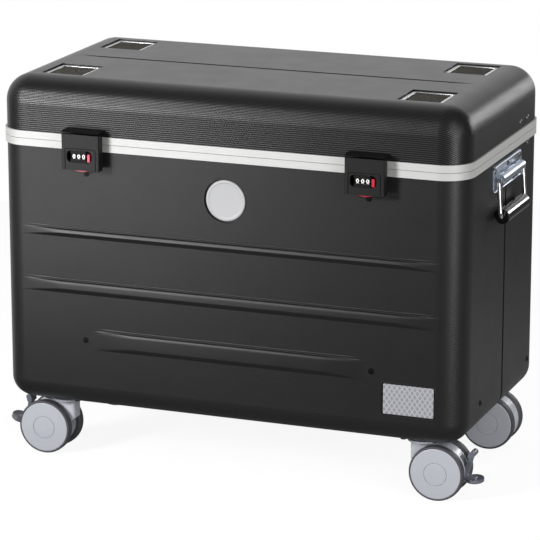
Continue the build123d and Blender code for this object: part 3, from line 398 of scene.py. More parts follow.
@dataclass(frozen=True)
class LatticeFoil(Finish):
    """Silver foil label printed with a plain lattice of tall diamonds."""

    relief_mm: float = 0.01
    across_mm: float = 7.0
    rise_mm: float = 10.0
    line_share: float = 0.3
    fill_share: float = 0.66

    def dress(self, coat: Coat) -> None:
        """Adds the lattice.

        Args:
            coat: Nodes of the material.
        """
        across, rise = 1 / (self.across_mm * MM), 1 / (self.rise_mm * MM)
        marks = []
        for way in ((across, 0.0, rise), (across, 0.0, -rise)):
            saw = calc(coat.tree, "FRACT", along(coat.tree, coat.place, way))
            marks.append(calc(coat.tree, "LESS_THAN", saw, self.line_share))
        lattice = calc(coat.tree, "MAXIMUM", *marks)
        coat.shades(lattice, self.fill_share, 1.0)
        coat.relief(lattice)


@dataclass(frozen=True)
class FlutedSheet(Finish):
    """Twin-wall plastic sheet, whose upright flutes show as fine stripes."""

    fleck: float = 0.12
    relief_mm: float = 0.12
    flute_mm: float = 4.0

    def dress(self, coat: Coat) -> None:
        """Adds the flutes.

        Args:
            coat: Nodes of the material.
        """
        wave = coat.wave((math.tau / (self.flute_mm * MM), 0.0, 0.0))
        flutes = ramp(coat.tree, wave, (-1.0, 1.0), (0.0, 1.0))
        coat.tint(flutes)
        coat.relief(flutes)


# Black ABS: near-black body colour, with gloss that the emboss turns into a wide sheen.
SHELL_ABS = GrainedAbs("embossed_black_abs", "#19191a", 0.43, ior=1.42, relief_mm=0.1, sheen=0.24)
LID_ABS = GrainedAbs(
    "row_embossed_black_abs", "#19191a", 0.35, ior=1.42, relief_mm=0.16, grain=Grain.ROWS, pitch_mm=2.7, sheen=0.48
)
SMOOTH_ABS = Finish("smooth_black_abs", "#1b1b1c", 0.3, fleck=0.08, fleck_mm=4.0)
# Anodised aluminium: pale, slightly warm metal with a silky reflection drawn out along the profile.
FRAME_ALUMINIUM = DrawnMetal("anodised_aluminium", "#cacac8", 0.68, 0.6)
TRIM_ALUMINIUM = DrawnMetal("brushed_trim_aluminium", "#c9cacb", 0.3, 1.0, across=(0.0, 1.0, 0.0))
SUPPLY_METAL = DrawnMetal("folded_aluminium", "#b9bbbd", 0.35, 1.0)
# Zinc plate: bluish bright metal with cloudy patches from the plating bath.
ZINC_PLATE = Finish("zinc_plated_steel", "#b2bac6", 0.36, 0.95, fleck=0.18, fleck_mm=8.0)
# Polished and nickelled steel: clear, hard reflections, the nickel darker and softer.
BRIGHT_STEEL = Finish("polished_steel", "#dadada", 0.12, 1.0, fleck=0.05, fleck_mm=6.0)
RIVET_STEEL = Finish("nickelled_steel", "#66676a", 0.32, 1.0, fleck=0.08, fleck_mm=2.0)
# Oxidised steel: a dull black that hardly mirrors. Woven wire: dull brownish grey.
SCREW_BLACK = Finish("black_oxide_steel", "#080808", 0.42, ior=1.28, fleck=0.1, fleck_mm=1.5)
MESH_WIRE = Finish("woven_steel_wire", "#4a463f", 0.55, 0.6, fleck=0.15, fleck_mm=2.0)
# Glass-filled nylon of the latches: charcoal with a dry, finely sparked face.
LATCH_NYLON = Finish("sparked_black_nylon", "#121213", 0.5, ior=1.36, fleck=0.18, fleck_mm=0.9)
# Grip, dials and slide: wet gloss on the grip, deep matt black round the white ink, a clear red. The dials' black
# also paints shade on the latch flaps' tops and in their panel grooves.
GLOSS_GRIP = Finish("glossy_black_pvc", "#0d0d0e", 0.12, fleck=0.05, fleck_mm=14.0)
BLACK_ACETAL_AND_SHADE = Finish("moulded_black_acetal", "#0b0b0b", 0.6, ior=1.3, fleck=0.05, fleck_mm=2.0)
DIGIT_WHITE = Finish("printed_white_ink", "#f1f1ee", 0.5, fleck=0.03, fleck_mm=1.0)
RELEASE_RED = Finish("moulded_red_abs", "#b81f38", 0.3, fleck=0.05, fleck_mm=2.0)
# Casters: cool light grey plastic with a satin skin, darker and drier on treads and pedals.
CASTER_GREY = Finish("satin_grey_polypropylene", "#b1b4bb", 0.42, fleck=0.03, fleck_mm=7.0)
HOOD_GREY = Finish("glossy_grey_polypropylene", "#c4c7cf", 0.26, fleck=0.03, fleck_mm=9.0)
TREAD_GREY = Finish("dark_grey_tread_rubber", "#47474c", 0.55, fleck=0.08, fleck_mm=1.6)
PEDAL_GREY = Finish("moulded_grey_nylon", "#646871", 0.34, fleck=0.06, fleck_mm=2.5)
# Sealing rubber: a flat black that keeps the seam dark.
GASKET_RUBBER = Finish("black_sealing_rubber", "#101010", 0.7, fleck=0.1, fleck_mm=2.0)
# Label and badge: pale metal that spreads the light, one in a lattice and one in fine rings.
LABEL_FOIL = LatticeFoil("silver_foil_label", "#bdbdc4", 0.38, 0.3)
BADGE_SATIN = SpunMetal("satin_turned_aluminium", "#acacae", 0.55, 0.2)
# Inside: dry dark board, plastic and paint, with mid-grey fluted sheets between them.
FLOOR_BOARD = Finish("dark_phenolic_board", "#2c2a28", 0.5, fleck=0.2, fleck_mm=1.5)
RACK_BLACK = Finish("dense_black_polyethylene", "#232325", 0.75, fleck=0.2, fleck_mm=1.2)
DIVIDER_SHEET = FlutedSheet("fluted_grey_polypropylene", "#6b6e73", 0.5)
HOUSING_PAINT = Finish("powder_coated_steel", "#33353a", 0.5, fleck=0.15, fleck_mm=1.0)


# Meshes

MERGE_M = 1e-6
NODE_MERGE_M = 2e-6
POLE_M = 1e-7
FLAT_DEG = 0.6


def linked(name: str, data: bpy.types.ID) -> bpy.types.Object:
    """Makes an object of its data and links it to the scene."""
    holder = bpy.data.objects.new(name, data)
    bpy.context.scene.collection.objects.link(holder)
    return holder


def turned(axis: str, degrees: float) -> Matrix:
    """Gives a turn about one axis."""
    return Matrix.Rotation(math.radians(degrees), 4, axis)


def scaled(shape: Sequence[Point], across: float, rise: float) -> list[Point]:
    """Scales an outline that is written in shares."""
    return [(share * across, height * rise) for share, height in shape]


def add_piece(
    name: str, mesh: Mesh, body: str, finishes: Sequence[Finish], replaced: Sequence[str] = ()
) -> bpy.types.Object:
    """Puts a finished mesh into the scene, on its body.

    Args:
        name: Name of the piece.
        mesh: Mesh in the trolley's own frame.
        body: CAD body that it rides on.
        finishes: Finishes in the order of the mesh's material slots.
        replaced: CAD nodes that it stands for.

    Returns:
        The new object.
    """
    mesh.name = name
    for finish in finishes:
        mesh.materials.append(finish.build())
    piece = linked(name, mesh)
    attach(piece, body)
    if replaced:
        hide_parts(*replaced)
    LOG.info("piece %s on %s, %d faces", name, body, len(mesh.polygons))
    return piece


def shade(mesh: Mesh, smooth_deg: float) -> None:
    """Shades a mesh smoothly, with crisp edges where it bends by more than an angle."""
    mesh.shade_smooth()
    mesh.set_sharp_from_angle(angle=math.radians(smooth_deg))


def mesh_from(build: Callable[[Draft], None], smooth_deg: float = 35.0) -> Mesh:
    """Makes a mesh with bmesh code, merges its doubles and turns its faces outwards.

    Args:
        build: Function that fills the bmesh.
        smooth_deg: Edges flatter than this shade smoothly.

    Returns:
        The finished mesh.
    """
    work = bmesh.new()
    build(work)
    bmesh.ops.remove_doubles(work, verts=work.verts, dist=MERGE_M)
    bmesh.ops.recalc_face_normals(work, faces=work.faces)
    mesh = bpy.data.meshes.new("work")
    work.to_mesh(mesh)
    work.free()
    shade(mesh, smooth_deg)
    return mesh


def evaluated(piece: bpy.types.Object) -> Mesh:
    """Turns an object with its modifiers applied into a plain new mesh."""
    bpy.context.view_layer.update()
    return bpy.data.meshes.new_from_object(piece.evaluated_get(bpy.context.evaluated_depsgraph_get()))


def bridge(work: Draft, loops: Sequence[Loop], closed: bool = True, slot: int = 0) -> None:
    """Lays faces from each loop of points to the next.

    Args:
        work: Mesh that takes the faces.
        loops: Loops of the same length; a loop of one point is a pole.
        closed: Whether each loop returns to its start.
        slot: Material slot of the faces.
    """
    for low, high in zip(loops, loops[1:]):
        count = max(len(low), len(high))
        for index in range(count if closed else count - 1):
            after = (index + 1) % count
            corners = [low[index % len(low)], low[after % len(low)], high[after % len(high)], high[index % len(high)]]
            unique = list(dict.fromkeys(corners))
            if len(unique) >= 3:
                work.faces.new(unique).material_index = slot


def lathe(work: Draft, profile: Sequence[Point], place: Matrix, steps: int, slot: int = 0) -> None:
    """Turns a profile about the local Z axis.

    Args:
        work: Mesh that takes the faces.
        profile: Radius and height of each point, in metres.
        place: Where the axis stands.
        steps: Faces round the circle.
        slot: Material slot of the faces.
    """
    turns = [math.tau * index / steps for index in range(steps)]
    rings = []
    for radius, height in profile:
        spots = [(radius * math.cos(turn), radius * math.sin(turn), height) for turn in turns]
        rings.append([work.verts.new(place @ Vector(spot)) for spot in spots[: steps if radius > POLE_M else 1]])
    bridge(work, rings, slot=slot)


def rounded(points: Sequence[Point], radius: float, steps: int = 4) -> list[Point]:
    """Rounds the inner corners of an open outline.

    Args:
        points: Corners in order.
        radius: Largest rounding.
        steps: Points on each rounding.

    Returns:
        The outline with its corners rounded.
    """
    made = [points[0]]
    for before, corner, after in zip(points, points[1:], points[2:]):
        start, middle, end = Vector(before), Vector(corner), Vector(after)
        reach = min(radius, (start - middle).length / 2, (end - middle).length / 2)
        first = middle + (start - middle).normalized() * reach
        last = middle + (end - middle).normalized() * reach
        for step in range(steps + 1):
            share = step / steps
            spot = first * (1 - share) ** 2 + middle * 2 * share * (1 - share) + last * share**2
            made.append((spot.x, spot.y))
    made.append(points[-1])
    return made


def rim_ring(
    work: Draft, half: Point, corner: float, profile: Sequence[Point], place: Matrix, steps: int = 6
) -> None:
    """Carries a profile round a rectangle with rounded corners.

    Args:
        work: Mesh that takes the faces.
        half: Half width and half height of the outer outline, in metres.
        corner: Radius of the outer corners.
        profile: Inset from the outer outline and height of each point.
        place: Where the rectangle's middle lies, with the height along local Z.
        steps: Faces round each corner.
    """
    least_bend = 0.05 * MM
    loops = []
    for inset, height in profile:
        bend = max(corner - inset, least_bend)
        loop = []
        for quarter, (side, rise) in enumerate(((1, 1), (-1, 1), (-1, -1), (1, -1))):
            middle = Vector((side * (half[0] - inset - bend), rise * (half[1] - inset - bend), height))
            for step in range(steps + 1):
                turn = math.radians(90 * (quarter + step / steps))
                loop.append(work.verts.new(place @ (middle + Vector((math.cos(turn), math.sin(turn), 0.0)) * bend)))
        loops.append(loop)
    bridge(work, loops)


@dataclass(frozen=True)
class Bead:
    """Rounded bead round a plate, with its section in shares of its width and in millimetres of height."""

    wide_mm: float
    corner_mm: float
    round_mm: float
    shape: tuple[Point, ...]
    smooth_deg: float = 60.0

    def mesh(self, half: Point, place: Matrix) -> Mesh:
        """Lays the bead round a rectangle.

        Args:
            half: Half width and half height of the bead's outer outline, in metres.
            place: Where the rectangle's middle lies, with the height along local Z.

        Returns:
            Mesh of the bead.
        """
        profile = rounded(scaled(self.shape, self.wide_mm * MM, MM), self.round_mm * MM)
        return mesh_from(lambda work: rim_ring(work, half, self.corner_mm * MM, profile, place), self.smooth_deg)


def softened(node: str, width_mm: float, segments: int = 2, smooth_deg: float = 32.0) -> Mesh:
    """Copies a CAD node's mesh, joins its triangles and breaks its sharp edges.

    Args:
        node: CAD node.
        width_mm: Width of the broken edge in millimetres.
        segments: Faces across the broken edge.
        smooth_deg: Edges sharper than this are broken.

    Returns:
        The softened mesh.
    """
    work = bmesh.new()
    work.from_mesh(FRAME["nodes"][node].data)
    bmesh.ops.remove_doubles(work, verts=work.verts, dist=NODE_MERGE_M)
    bmesh.ops.dissolve_limit(work, angle_limit=math.radians(FLAT_DEG), verts=work.verts, edges=work.edges)
    mesh = bpy.data.meshes.new("soft")
    work.to_mesh(mesh)
    work.free()
    shade(mesh, smooth_deg)
    holder = linked("soft", mesh)
    bevel = holder.modifiers.new("edge", "BEVEL")
    bevel.width = width_mm * MM
    bevel.segments = segments
    bevel.limit_method = "ANGLE"
    bevel.angle_limit = math.radians(smooth_deg)
    flats = holder.modifiers.new("flats", "WEIGHTED_NORMAL")
    flats.weight = 100
    flats.keep_sharp = True
    done = evaluated(holder)
    bpy.data.objects.remove(holder)
    bpy.data.meshes.remove(mesh)
    return done


def dress_node(node: str, finish: Finish) -> None:
    """Gives a CAD node that keeps its own shape a finish."""
    slots = FRAME["nodes"][node].data.materials
    slots.clear()
    slots.append(finish.build())


def soften_node(node: str, body: str, finish: Finish, width_mm: float, segments: int = 2) -> bpy.types.Object:
    """Stands a softened copy in for a CAD node.

    Args:
        node: CAD node.
        body: Body that it belongs to.
        finish: Its finish.
        width_mm: Width of its broken edges in millimetres.
        segments: Faces across a broken edge.

    Returns:
        The new piece.
    """
    return add_piece(f"{node}_skin", softened(node, width_mm, segments), body, [finish], [node])


# Geometry-node trees

WIRE_POINTS = 75
WIRE_SIDES = 6
FASTENER_STEPS = 24


def grown(name: str, tree: Tree, seeds: Mesh, values: Mapping[str, Any]) -> Mesh:
    """Runs a geometry-node tree on seed points.

    Args:
        name: Name for the work object.
        tree: Node tree with named inputs.
        seeds: Mesh whose points the tree grows from.
        values: Input name to value.

    Returns:
        The grown geometry as a plain mesh without slots.
    """
    holder = linked(name, seeds)
    modifier = holder.modifiers.new("grow", "NODES")
    modifier.node_group = tree
    for item in tree.interface.items_tree:
        if item.item_type == "SOCKET" and item.in_out == "INPUT" and item.name in values:
            modifier[item.identifier] = values[item.name]
    mesh = evaluated(holder)
    bpy.data.objects.remove(holder)
    mesh.materials.clear()
    return mesh


def new_tree(name: str, inputs: Mapping[str, str]) -> tuple[Tree, Node]:
    """Starts a geometry-node tree with named inputs.

    Args:
        name: Name of the tree.
        inputs: Input name to socket type, between the seeds and the finish.

    Returns:
        The tree and its input node.
    """
    tree = bpy.data.node_groups.new(name, "GeometryNodeTree")
    sockets = {"Seeds": "NodeSocketGeometry", **inputs, "Finish": "NodeSocketMaterial"}
    for label, kind in sockets.items():
        tree.interface.new_socket(label, in_out="INPUT", socket_type=kind)
    tree.interface.new_socket("Grown", in_out="OUTPUT", socket_type="NodeSocketGeometry")
    return tree, put(tree, "NodeGroupInput")


def close_tree(tree: Tree, given: Node, instance: Mapping[str, Socket]) -> None:
    """Ends a tree: one instance on every seed point, made real and dressed.

    Args:
        tree: Tree to end.
        given: Its input node.
        instance: What feeds the instances, and their turn where they have one.
    """
    spots = put(tree, "GeometryNodeInstanceOnPoints", {"Points": given.outputs["Seeds"], **instance})
    real = put(tree, "GeometryNodeRealizeInstances", {"Geometry": spots.outputs[0]})
    feeds = {"Geometry": real.outputs[0], "Material": given.outputs["Finish"]}
    put(tree, "NodeGroupOutput", {"Grown": put(tree, "GeometryNodeSetMaterial", feeds).outputs[0]})


def seed_mesh(places: Sequence[Vector], facings: Sequence[Vector]) -> Mesh:
    """Makes loose points that remember which way they face.

    Args:
        places: Positions.
        facings: Direction of each point.

    Returns:
        Mesh of points with a facing attribute.
    """
    mesh = bpy.data.meshes.new("seeds")
    mesh.from_pydata([tuple(place) for place in places], [], [])
    facing = mesh.attributes.new("facing", "FLOAT_VECTOR", "POINT")
    for index, way in enumerate(facings):
        facing.data[index].vector = way
    return mesh


def scatter_tree() -> Tree:
    """Builds the tree that sets one fastener on every seed point, facing outward.

    Returns:
        Tree with inputs for the fastener and its finish.
    """
    tree, given = new_tree("fastener_scatter", {"Fastener": "NodeSocketObject"})
    shape = put(tree, "GeometryNodeObjectInfo", {"Object": given.outputs["Fastener"]})
    facing = put(tree, "GeometryNodeInputNamedAttribute", {"Name": "facing"}, data_type="FLOAT_VECTOR")
    turn = put(tree, "FunctionNodeAlignRotationToVector", {"Vector": facing.outputs["Attribute"]}, axis="Z")
    close_tree(tree, given, {"Instance": shape.outputs["Geometry"], "Rotation": turn.outputs["Rotation"]})
    return tree


def scatter(name: str, profile: Sequence[Point], spots: Sequence[tuple[Vector, Vector]], finish: Finish) -> Mesh:
    """Sets a turned fastener on many spots.

    Args:
        name: Name for the work objects.
        profile: Radius and height of the fastener's outline, in metres.
        spots: Place and outward direction of each one.
        finish: Its finish.

    Returns:
        One mesh with every fastener.
    """
    fastener = mesh_from(lambda work: lathe(work, profile, Matrix.Identity(4), FASTENER_STEPS))
    model = linked(f"{name}_model", fastener)
    seeds = seed_mesh([place for place, _ in spots], [way for _, way in spots])
    mesh = grown(name, scatter_tree(), seeds, {"Fastener": model, "Finish": finish.build()})
    bpy.data.objects.remove(model)
    return mesh


def weave_tree() -> Tree:
    """Builds the tree that lays a plain-woven wire patch on every seed point.

    Returns:
        Tree with inputs for the patch's size, wires and finish.
    """
    numbers = ("Width", "Depth", "Pitch", "Wire", "Crimp", "Columns", "Rows")
    tree, given = new_tree("woven_guard", {label: "NodeSocketFloat" for label in numbers})
    pitch, crimp = given.outputs["Pitch"], given.outputs["Crimp"]

    def wires(across: bool) -> Socket:
        """Lays the wires that run one way, each bent over and under those that run the other way."""
        count = given.outputs["Rows" if across else "Columns"]
        length = given.outputs["Width" if across else "Depth"]
        axis, run = ("Y", "X") if across else ("X", "Y")
        first = calc(tree, "MULTIPLY", calc(tree, "MULTIPLY", calc(tree, "SUBTRACT", count, 1.0), pitch), -0.5)
        start = put(tree, "ShaderNodeCombineXYZ", {axis: first}).outputs[0]
        stride = put(tree, "ShaderNodeCombineXYZ", {axis: pitch}).outputs[0]
        row = put(tree, "GeometryNodeMeshLine", {"Count": count, "Start Location": start, "Offset": stride})
        half = (0.5, 0.0, 0.0) if across else (0.0, 0.5, 0.0)
        line = put(tree, "GeometryNodeCurvePrimitiveLine", {"Start": tuple(-part for part in half), "End": half})
        scale = put(tree, "ShaderNodeCombineXYZ", {"X": 1.0, "Y": 1.0, "Z": 1.0, run: length})
        feeds = {"Points": row.outputs[0], "Instance": line.outputs[0], "Scale": scale.outputs[0]}
        spots = put(tree, "GeometryNodeInstanceOnPoints", feeds)
        real = put(tree, "GeometryNodeRealizeInstances", {"Geometry": spots.outputs[0]})
        fine = put(tree, "GeometryNodeResampleCurve", {"Curve": real.outputs[0], "Count": WIRE_POINTS})
        parts = put(tree, "ShaderNodeSeparateXYZ", {0: put(tree, "GeometryNodeInputPosition").outputs[0]})
        turn = calc(tree, "DIVIDE", calc(tree, "ADD", parts.outputs[0], parts.outputs[1]), pitch)
        wave = calc(tree, "COSINE", calc(tree, "MULTIPLY", turn, math.pi))
        lift = calc(tree, "MULTIPLY", calc(tree, "MULTIPLY", wave, crimp), 1.0 if across else -1.0)
        offset = put(tree, "ShaderNodeCombineXYZ", {"Z": lift}).outputs[0]
        bent = put(tree, "GeometryNodeSetPosition", {"Geometry": fine.outputs[0], "Offset": offset})
        feeds = {"Resolution": WIRE_SIDES, "Radius": given.outputs["Wire"]}
        ring = put(tree, "GeometryNodeCurvePrimitiveCircle", feeds)
        feeds = {"Curve": bent.outputs[0], "Profile Curve": ring.outputs[0]}
        return put(tree, "GeometryNodeCurveToMesh", feeds).outputs[0]

    patch = put(tree, "GeometryNodeJoinGeometry")
    for socket in (wires(True), wires(False)):
        tree.links.new(socket, patch.inputs[0])
    close_tree(tree, given, {"Instance": patch.outputs[0]})
    return tree


# Sub-assemblies


@dataclass
class CaseShells:
    """Lower shell and lid with their rim frames, badge, label and gasket."""

    label_gap_mm: float = 1.6
    label_bead: Bead = Bead(1.6, 3.2, 0.3, ((0.0, -0.3), (0.15, 0.4), (0.5, 0.65), (0.85, 0.4), (1.0, -1.2)))
    # Shares of the badge's radius and depth: satin dish, bright rim, wall and back.
    badge_shape: tuple[Point, ...] = (
        (0.0, 0.78),
        (0.84, 0.78),
        (0.87, 0.98),
        (0.97, 0.98),
        (1.0, 0.7),
        (1.0, 0.0),
        (0.0, 0.0),
    )
    badge_round_mm: float = 0.6
    badge_steps: int = 96

    def build(self) -> None:
        """Dresses the shells and frames."""
        dress_node("lower_shell", SHELL_ABS)
        dress_node("lid_shell", LID_ABS)
        dress_node("lower_frame", FRAME_ALUMINIUM)
        dress_node("upper_frame", FRAME_ALUMINIUM)
        dress_node("frame_gasket", GASKET_RUBBER)
        dress_node("label_plate", LABEL_FOIL)
        self.label_rim()
        self.badge()

    def label_rim(self) -> None:
        """Lays a smooth bead round the label's pocket."""
        low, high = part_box("label_plate")
        middle = (low + high) / 2
        reach = (self.label_gap_mm + self.label_bead.wide_mm) * MM
        half = ((high.x - low.x) / 2 + reach, (high.z - low.z) / 2 + reach)
        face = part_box("lower_shell")[0].y + RIB_PROUD
        place = Matrix.Translation((middle.x, face, middle.z)) @ turned("X", 90)
        add_piece("label_pocket_bead", self.label_bead.mesh(half, place), Body.CASE, [SMOOTH_ABS])

    def badge(self) -> None:
        """Turns the blank badge: a satin dish inside a bright raised rim."""
        low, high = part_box("badge_disc")
        middle = (low + high) / 2
        profile = rounded(
            scaled(self.badge_shape, (high.x - low.x) / 2, high.y - low.y), self.badge_round_mm * MM
        )
        place = Matrix.Translation((middle.x, high.y, middle.z)) @ turned("X", 90)
        mesh = mesh_from(lambda work: lathe(work, profile, place, self.badge_steps))
        satin = replace(BADGE_SATIN, middle=tuple(middle))
        add_piece("badge_dish", mesh, Body.CASE, [satin], ["badge_disc"])


@dataclass(frozen=True)
class Rib:
    """Sizes of one stamped rib, in millimetres.

    Attributes:
        drop: From the seam down to the rib's top edge.
        height: From its top edge to its foot.
        gap: From its end to the end of the shell.
        lift: From its top edge up to the ridge that the photograph shows.
    """

    drop: float
    height: float
    gap: float
    lift: float


@dataclass
class RibCrests:
    """Rounded skins over the three stamped ribs, whose upper bend catches the light."""

    ribs: tuple[Rib, ...] = (
        Rib(123.5, 8.0, 34.0, 2.7),
        Rib(198.0, 11.5, 34.0, 5.2),
        Rib(264.5, 21.0, 135.0, 5.2),
    )
    # Drop below the ridge, reach in front of the shell at the rib's end, and what the crest adds to that reach:
    # a thin lip, the groove under it, and the rib's upper bend.
    bend_mm: tuple[Spot, ...] = (
        (-5.0, -0.4, 0.0),
        (-3.9, 0.0, 0.6),
        (-2.9, 0.0, 1.0),
        (-2.2, 0.0, 0.15),
        (-0.9, 0.0, 0.1),
        (0.0, 0.0, 2.8),
        (3.4, 0.0, 3.95),
    )
    crest_mm: float = 4.5
    underside_mm: float = 6.3
    foot_mm: Point = (0.3, -0.6)
    sunk_mm: float = 0.06
    round_mm: float = 1.2
    round_steps: int = 5
    run_out_mm: float = 55.0
    stations: int = 14
    seam_mm: float = 0.3
    smooth_deg: float = 50.0

    def build(self) -> None:
        """Lays one skin on each rib."""
        low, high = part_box("lower_shell")
        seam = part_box("lower_frame")[1].z + self.seam_mm * MM
        corner = Vector((high.x, low.y + RIB_PROUD, seam))

        def build(work: Draft) -> None:
            """Draws the ribs one after the other."""
            for rib in self.ribs:
                self.lay(work, rib, corner)

        add_piece("rib_crests", mesh_from(build, self.smooth_deg), Body.CASE, [SHELL_ABS])

    def section(self, rib: Rib, share: float) -> list[Point]:
        """Gives the rib's section, with the thin lip and groove above it.

        Args:
            rib: Sizes of the rib.
            share: Zero at the rib's end, one along its crest.

        Returns:
            Drop below the rib's top edge and reach in front of the shell, in millimetres.
        """
        shape = [(drop - rib.lift, base, rise) for drop, base, rise in self.bend_mm]
        shape.append((rib.height - self.underside_mm * share, 0.0, self.crest_mm))
        shape.append((rib.height + self.foot_mm[0], self.foot_mm[1], 0.0))
        points = [(drop, base - self.sunk_mm + rise * share) for drop, base, rise in shape]
        return rounded(points, self.round_mm, self.round_steps)

    def lay(self, work: Draft, rib: Rib, corner: Vector) -> None:
        """Draws one rib with its run-outs.

        Args:
            work: Mesh that takes the faces.
            rib: Sizes of the rib.
            corner: Right end of the shell, its front face and the seam's height.
        """
        half, top = corner.x - rib.gap * MM, corner.z - rib.drop * MM
        shares = [step / self.stations for step in range(self.stations + 1)]
        ends = [(half - self.run_out_mm * MM * share, share) for share in shares]
        places = [(-x, share) for x, share in ends] + ends[::-1]
        loops = []
        for x, share in places:
            spots = self.section(rib, share)
            loops.append([work.verts.new((x, corner.y - reach * MM, top - drop * MM)) for drop, reach in spots])
        bridge(work, loops, closed=False)


@dataclass
class Latch:
    """One combination latch: flap with its hood, dials with printed numbers, and release slide."""

    side: Side
    flap_edge_mm: float = 0.5
    slide_edge_mm: float = 0.25
    top_slope: float = 0.5
    groove_mm: Point = (0.4, 1.0)
    pin_mm: float = 6.0
    hood_mm: Point = (9.0, 10.4)
    hood_deg: float = 30.0
    hood_steps: int = 8
    hood_seat_mm: float = 0.5
    hood_smooth_deg: float = 40.0
    mask_mm: Point = (3.3, 7.7)
    mask_over_mm: Point = (1.8, 0.25)
    mask_thick_mm: float = 0.6
    mask_sunk_mm: float = 0.7
    digits: int = 10
    digit_mm: float = 4.9
    font_share: float = 1.38
    digit_wide: float = 1.3
    digit_bold_mm: float = 0.2
    digit_lift_mm: float = 0.04
    digit_curve: int = 3

    def build(self) -> None:
        """Dresses the latch's nodes and prints its dials."""
        word = self.side.word
        self.flap()
        soften_node(f"release_slide_{word}", f"release_slide_{word}", RELEASE_RED, self.slide_edge_mm)
        for index in (1, 2, 3):
            dress_node(f"dial_{word}_{index}", BLACK_ACETAL_AND_SHADE)
            self.print_dial(f"dial_{word}_{index}")
        self.mask()
        self.hood()

    def flap(self) -> None:
        """Softens the flap, with painted shade on its top and in the groove round its panel: those faces take the
        darker black.
        """
        node = f"latch_flap_{self.side.word}"
        near, far = (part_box(node)[0].y + reach * MM for reach in self.groove_mm)
        skin = soften_node(node, node, LATCH_NYLON, self.flap_edge_mm).data
        skin.materials.append(BLACK_ACETAL_AND_SHADE.build())
        # Painted shade: faces in the panel's groove and faces that look upward take the darker black.
        for face in skin.polygons:
            face.material_index = int(near < face.center.y < far or face.normal.z > self.top_slope)

    def hood(self) -> None:
        """Bends the bracket's hood over the flap's top, clear of the flap's swing about its pin."""
        low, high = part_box(f"latch_flap_{self.side.word}")
        pin_y, pin_z = low.y + self.pin_mm * MM, high.z - self.pin_mm * MM
        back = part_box("lid_shell")[0].y + self.hood_seat_mm * MM
        turns = [math.radians(90 + self.hood_deg * step / self.hood_steps) for step in range(self.hood_steps + 1)]
        sheets = []
        for reach_mm in self.hood_mm:
            reach = reach_mm * MM
            bend = [(pin_y + reach * math.cos(turn), pin_z + reach * math.sin(turn)) for turn in turns]
            sheets.append([(back, pin_z + reach), *bend])
        section = sheets[0] + sheets[1][::-1]
        count = len(sheets[0])

        def build(work: Draft) -> None:
            """Draws the bent plate between its two ends."""
            ends = [[work.verts.new((x, y, z)) for y, z in section] for x in (low.x, high.x)]
            bridge(work, ends)
            for end in ends:
                bridge(work, [end[:count], end[count:][::-1]], closed=False)

        mesh = mesh_from(build, self.hood_smooth_deg)
        add_piece(f"latch_hood_{self.side.word}", mesh, Body.LID, [BLACK_ACETAL_AND_SHADE])

    def mask(self) -> None:
        """Covers the dials above and below the row of numbers that is read."""
        word = self.side.word
        low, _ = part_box(f"dial_{word}_1")
        _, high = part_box(f"dial_{word}_3")
        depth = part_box(f"latch_flap_{word}")[0].y + self.mask_sunk_mm * MM
        middle = (low.z + high.z) / 2
        left, right = low.x - self.mask_over_mm[0] * MM, high.x + self.mask_over_mm[1] * MM

        def build(work: Draft) -> None:
            """Lays the two strips."""
            for rise in (-1, 1):
                near, far = (middle + rise * reach * MM for reach in self.mask_mm)
                spot = Matrix.Translation(((left + right) / 2, depth, (near + far) / 2))
                size = Matrix.Diagonal((right - left, self.mask_thick_mm * MM, abs(far - near), 1.0))
                bmesh.ops.create_cube(work, size=1.0, matrix=spot @ size)

        add_piece(f"dial_mask_{word}", mesh_from(build), f"latch_flap_{word}", [BLACK_ACETAL_AND_SHADE])

    def print_dial(self, node: str) -> None:
        """Prints the numbers 0 to 9 on a dial's ten faces.

        Args:
            node: CAD node and body of the dial.
        """
        low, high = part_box(node)
        apothem = (high.y - low.y) / 2
        out = Matrix.Translation((0, -apothem - self.digit_lift_mm * MM, 0))
        upright = turned("X", 90) @ Matrix.Diagonal((self.digit_wide, 1.0, 1.0, 1.0))
        work = bmesh.new()
        for number in range(self.digits):
            text = bpy.data.curves.new("digit", "FONT")
            text.body = str(number)
            text.size = self.digit_mm * MM * self.font_share
            text.align_x = "CENTER"
            text.align_y = "CENTER"
            text.offset = self.digit_bold_mm * MM
            text.resolution_u = self.digit_curve
            holder = linked("digit", text)
            flat = evaluated(holder)
            turn = turned("X", -360 / self.digits * number)
            flat.transform(Matrix.Translation((low + high) / 2) @ turn @ out @ upright)
            work.from_mesh(flat)
            bpy.data.objects.remove(holder)
            bpy.data.curves.remove(text)
            bpy.data.meshes.remove(flat)
        mesh = bpy.data.meshes.new("digits")
        work.to_mesh(mesh)
        work.free()
        add_piece(f"{node}_numbers", mesh, node, [DIGIT_WHITE])


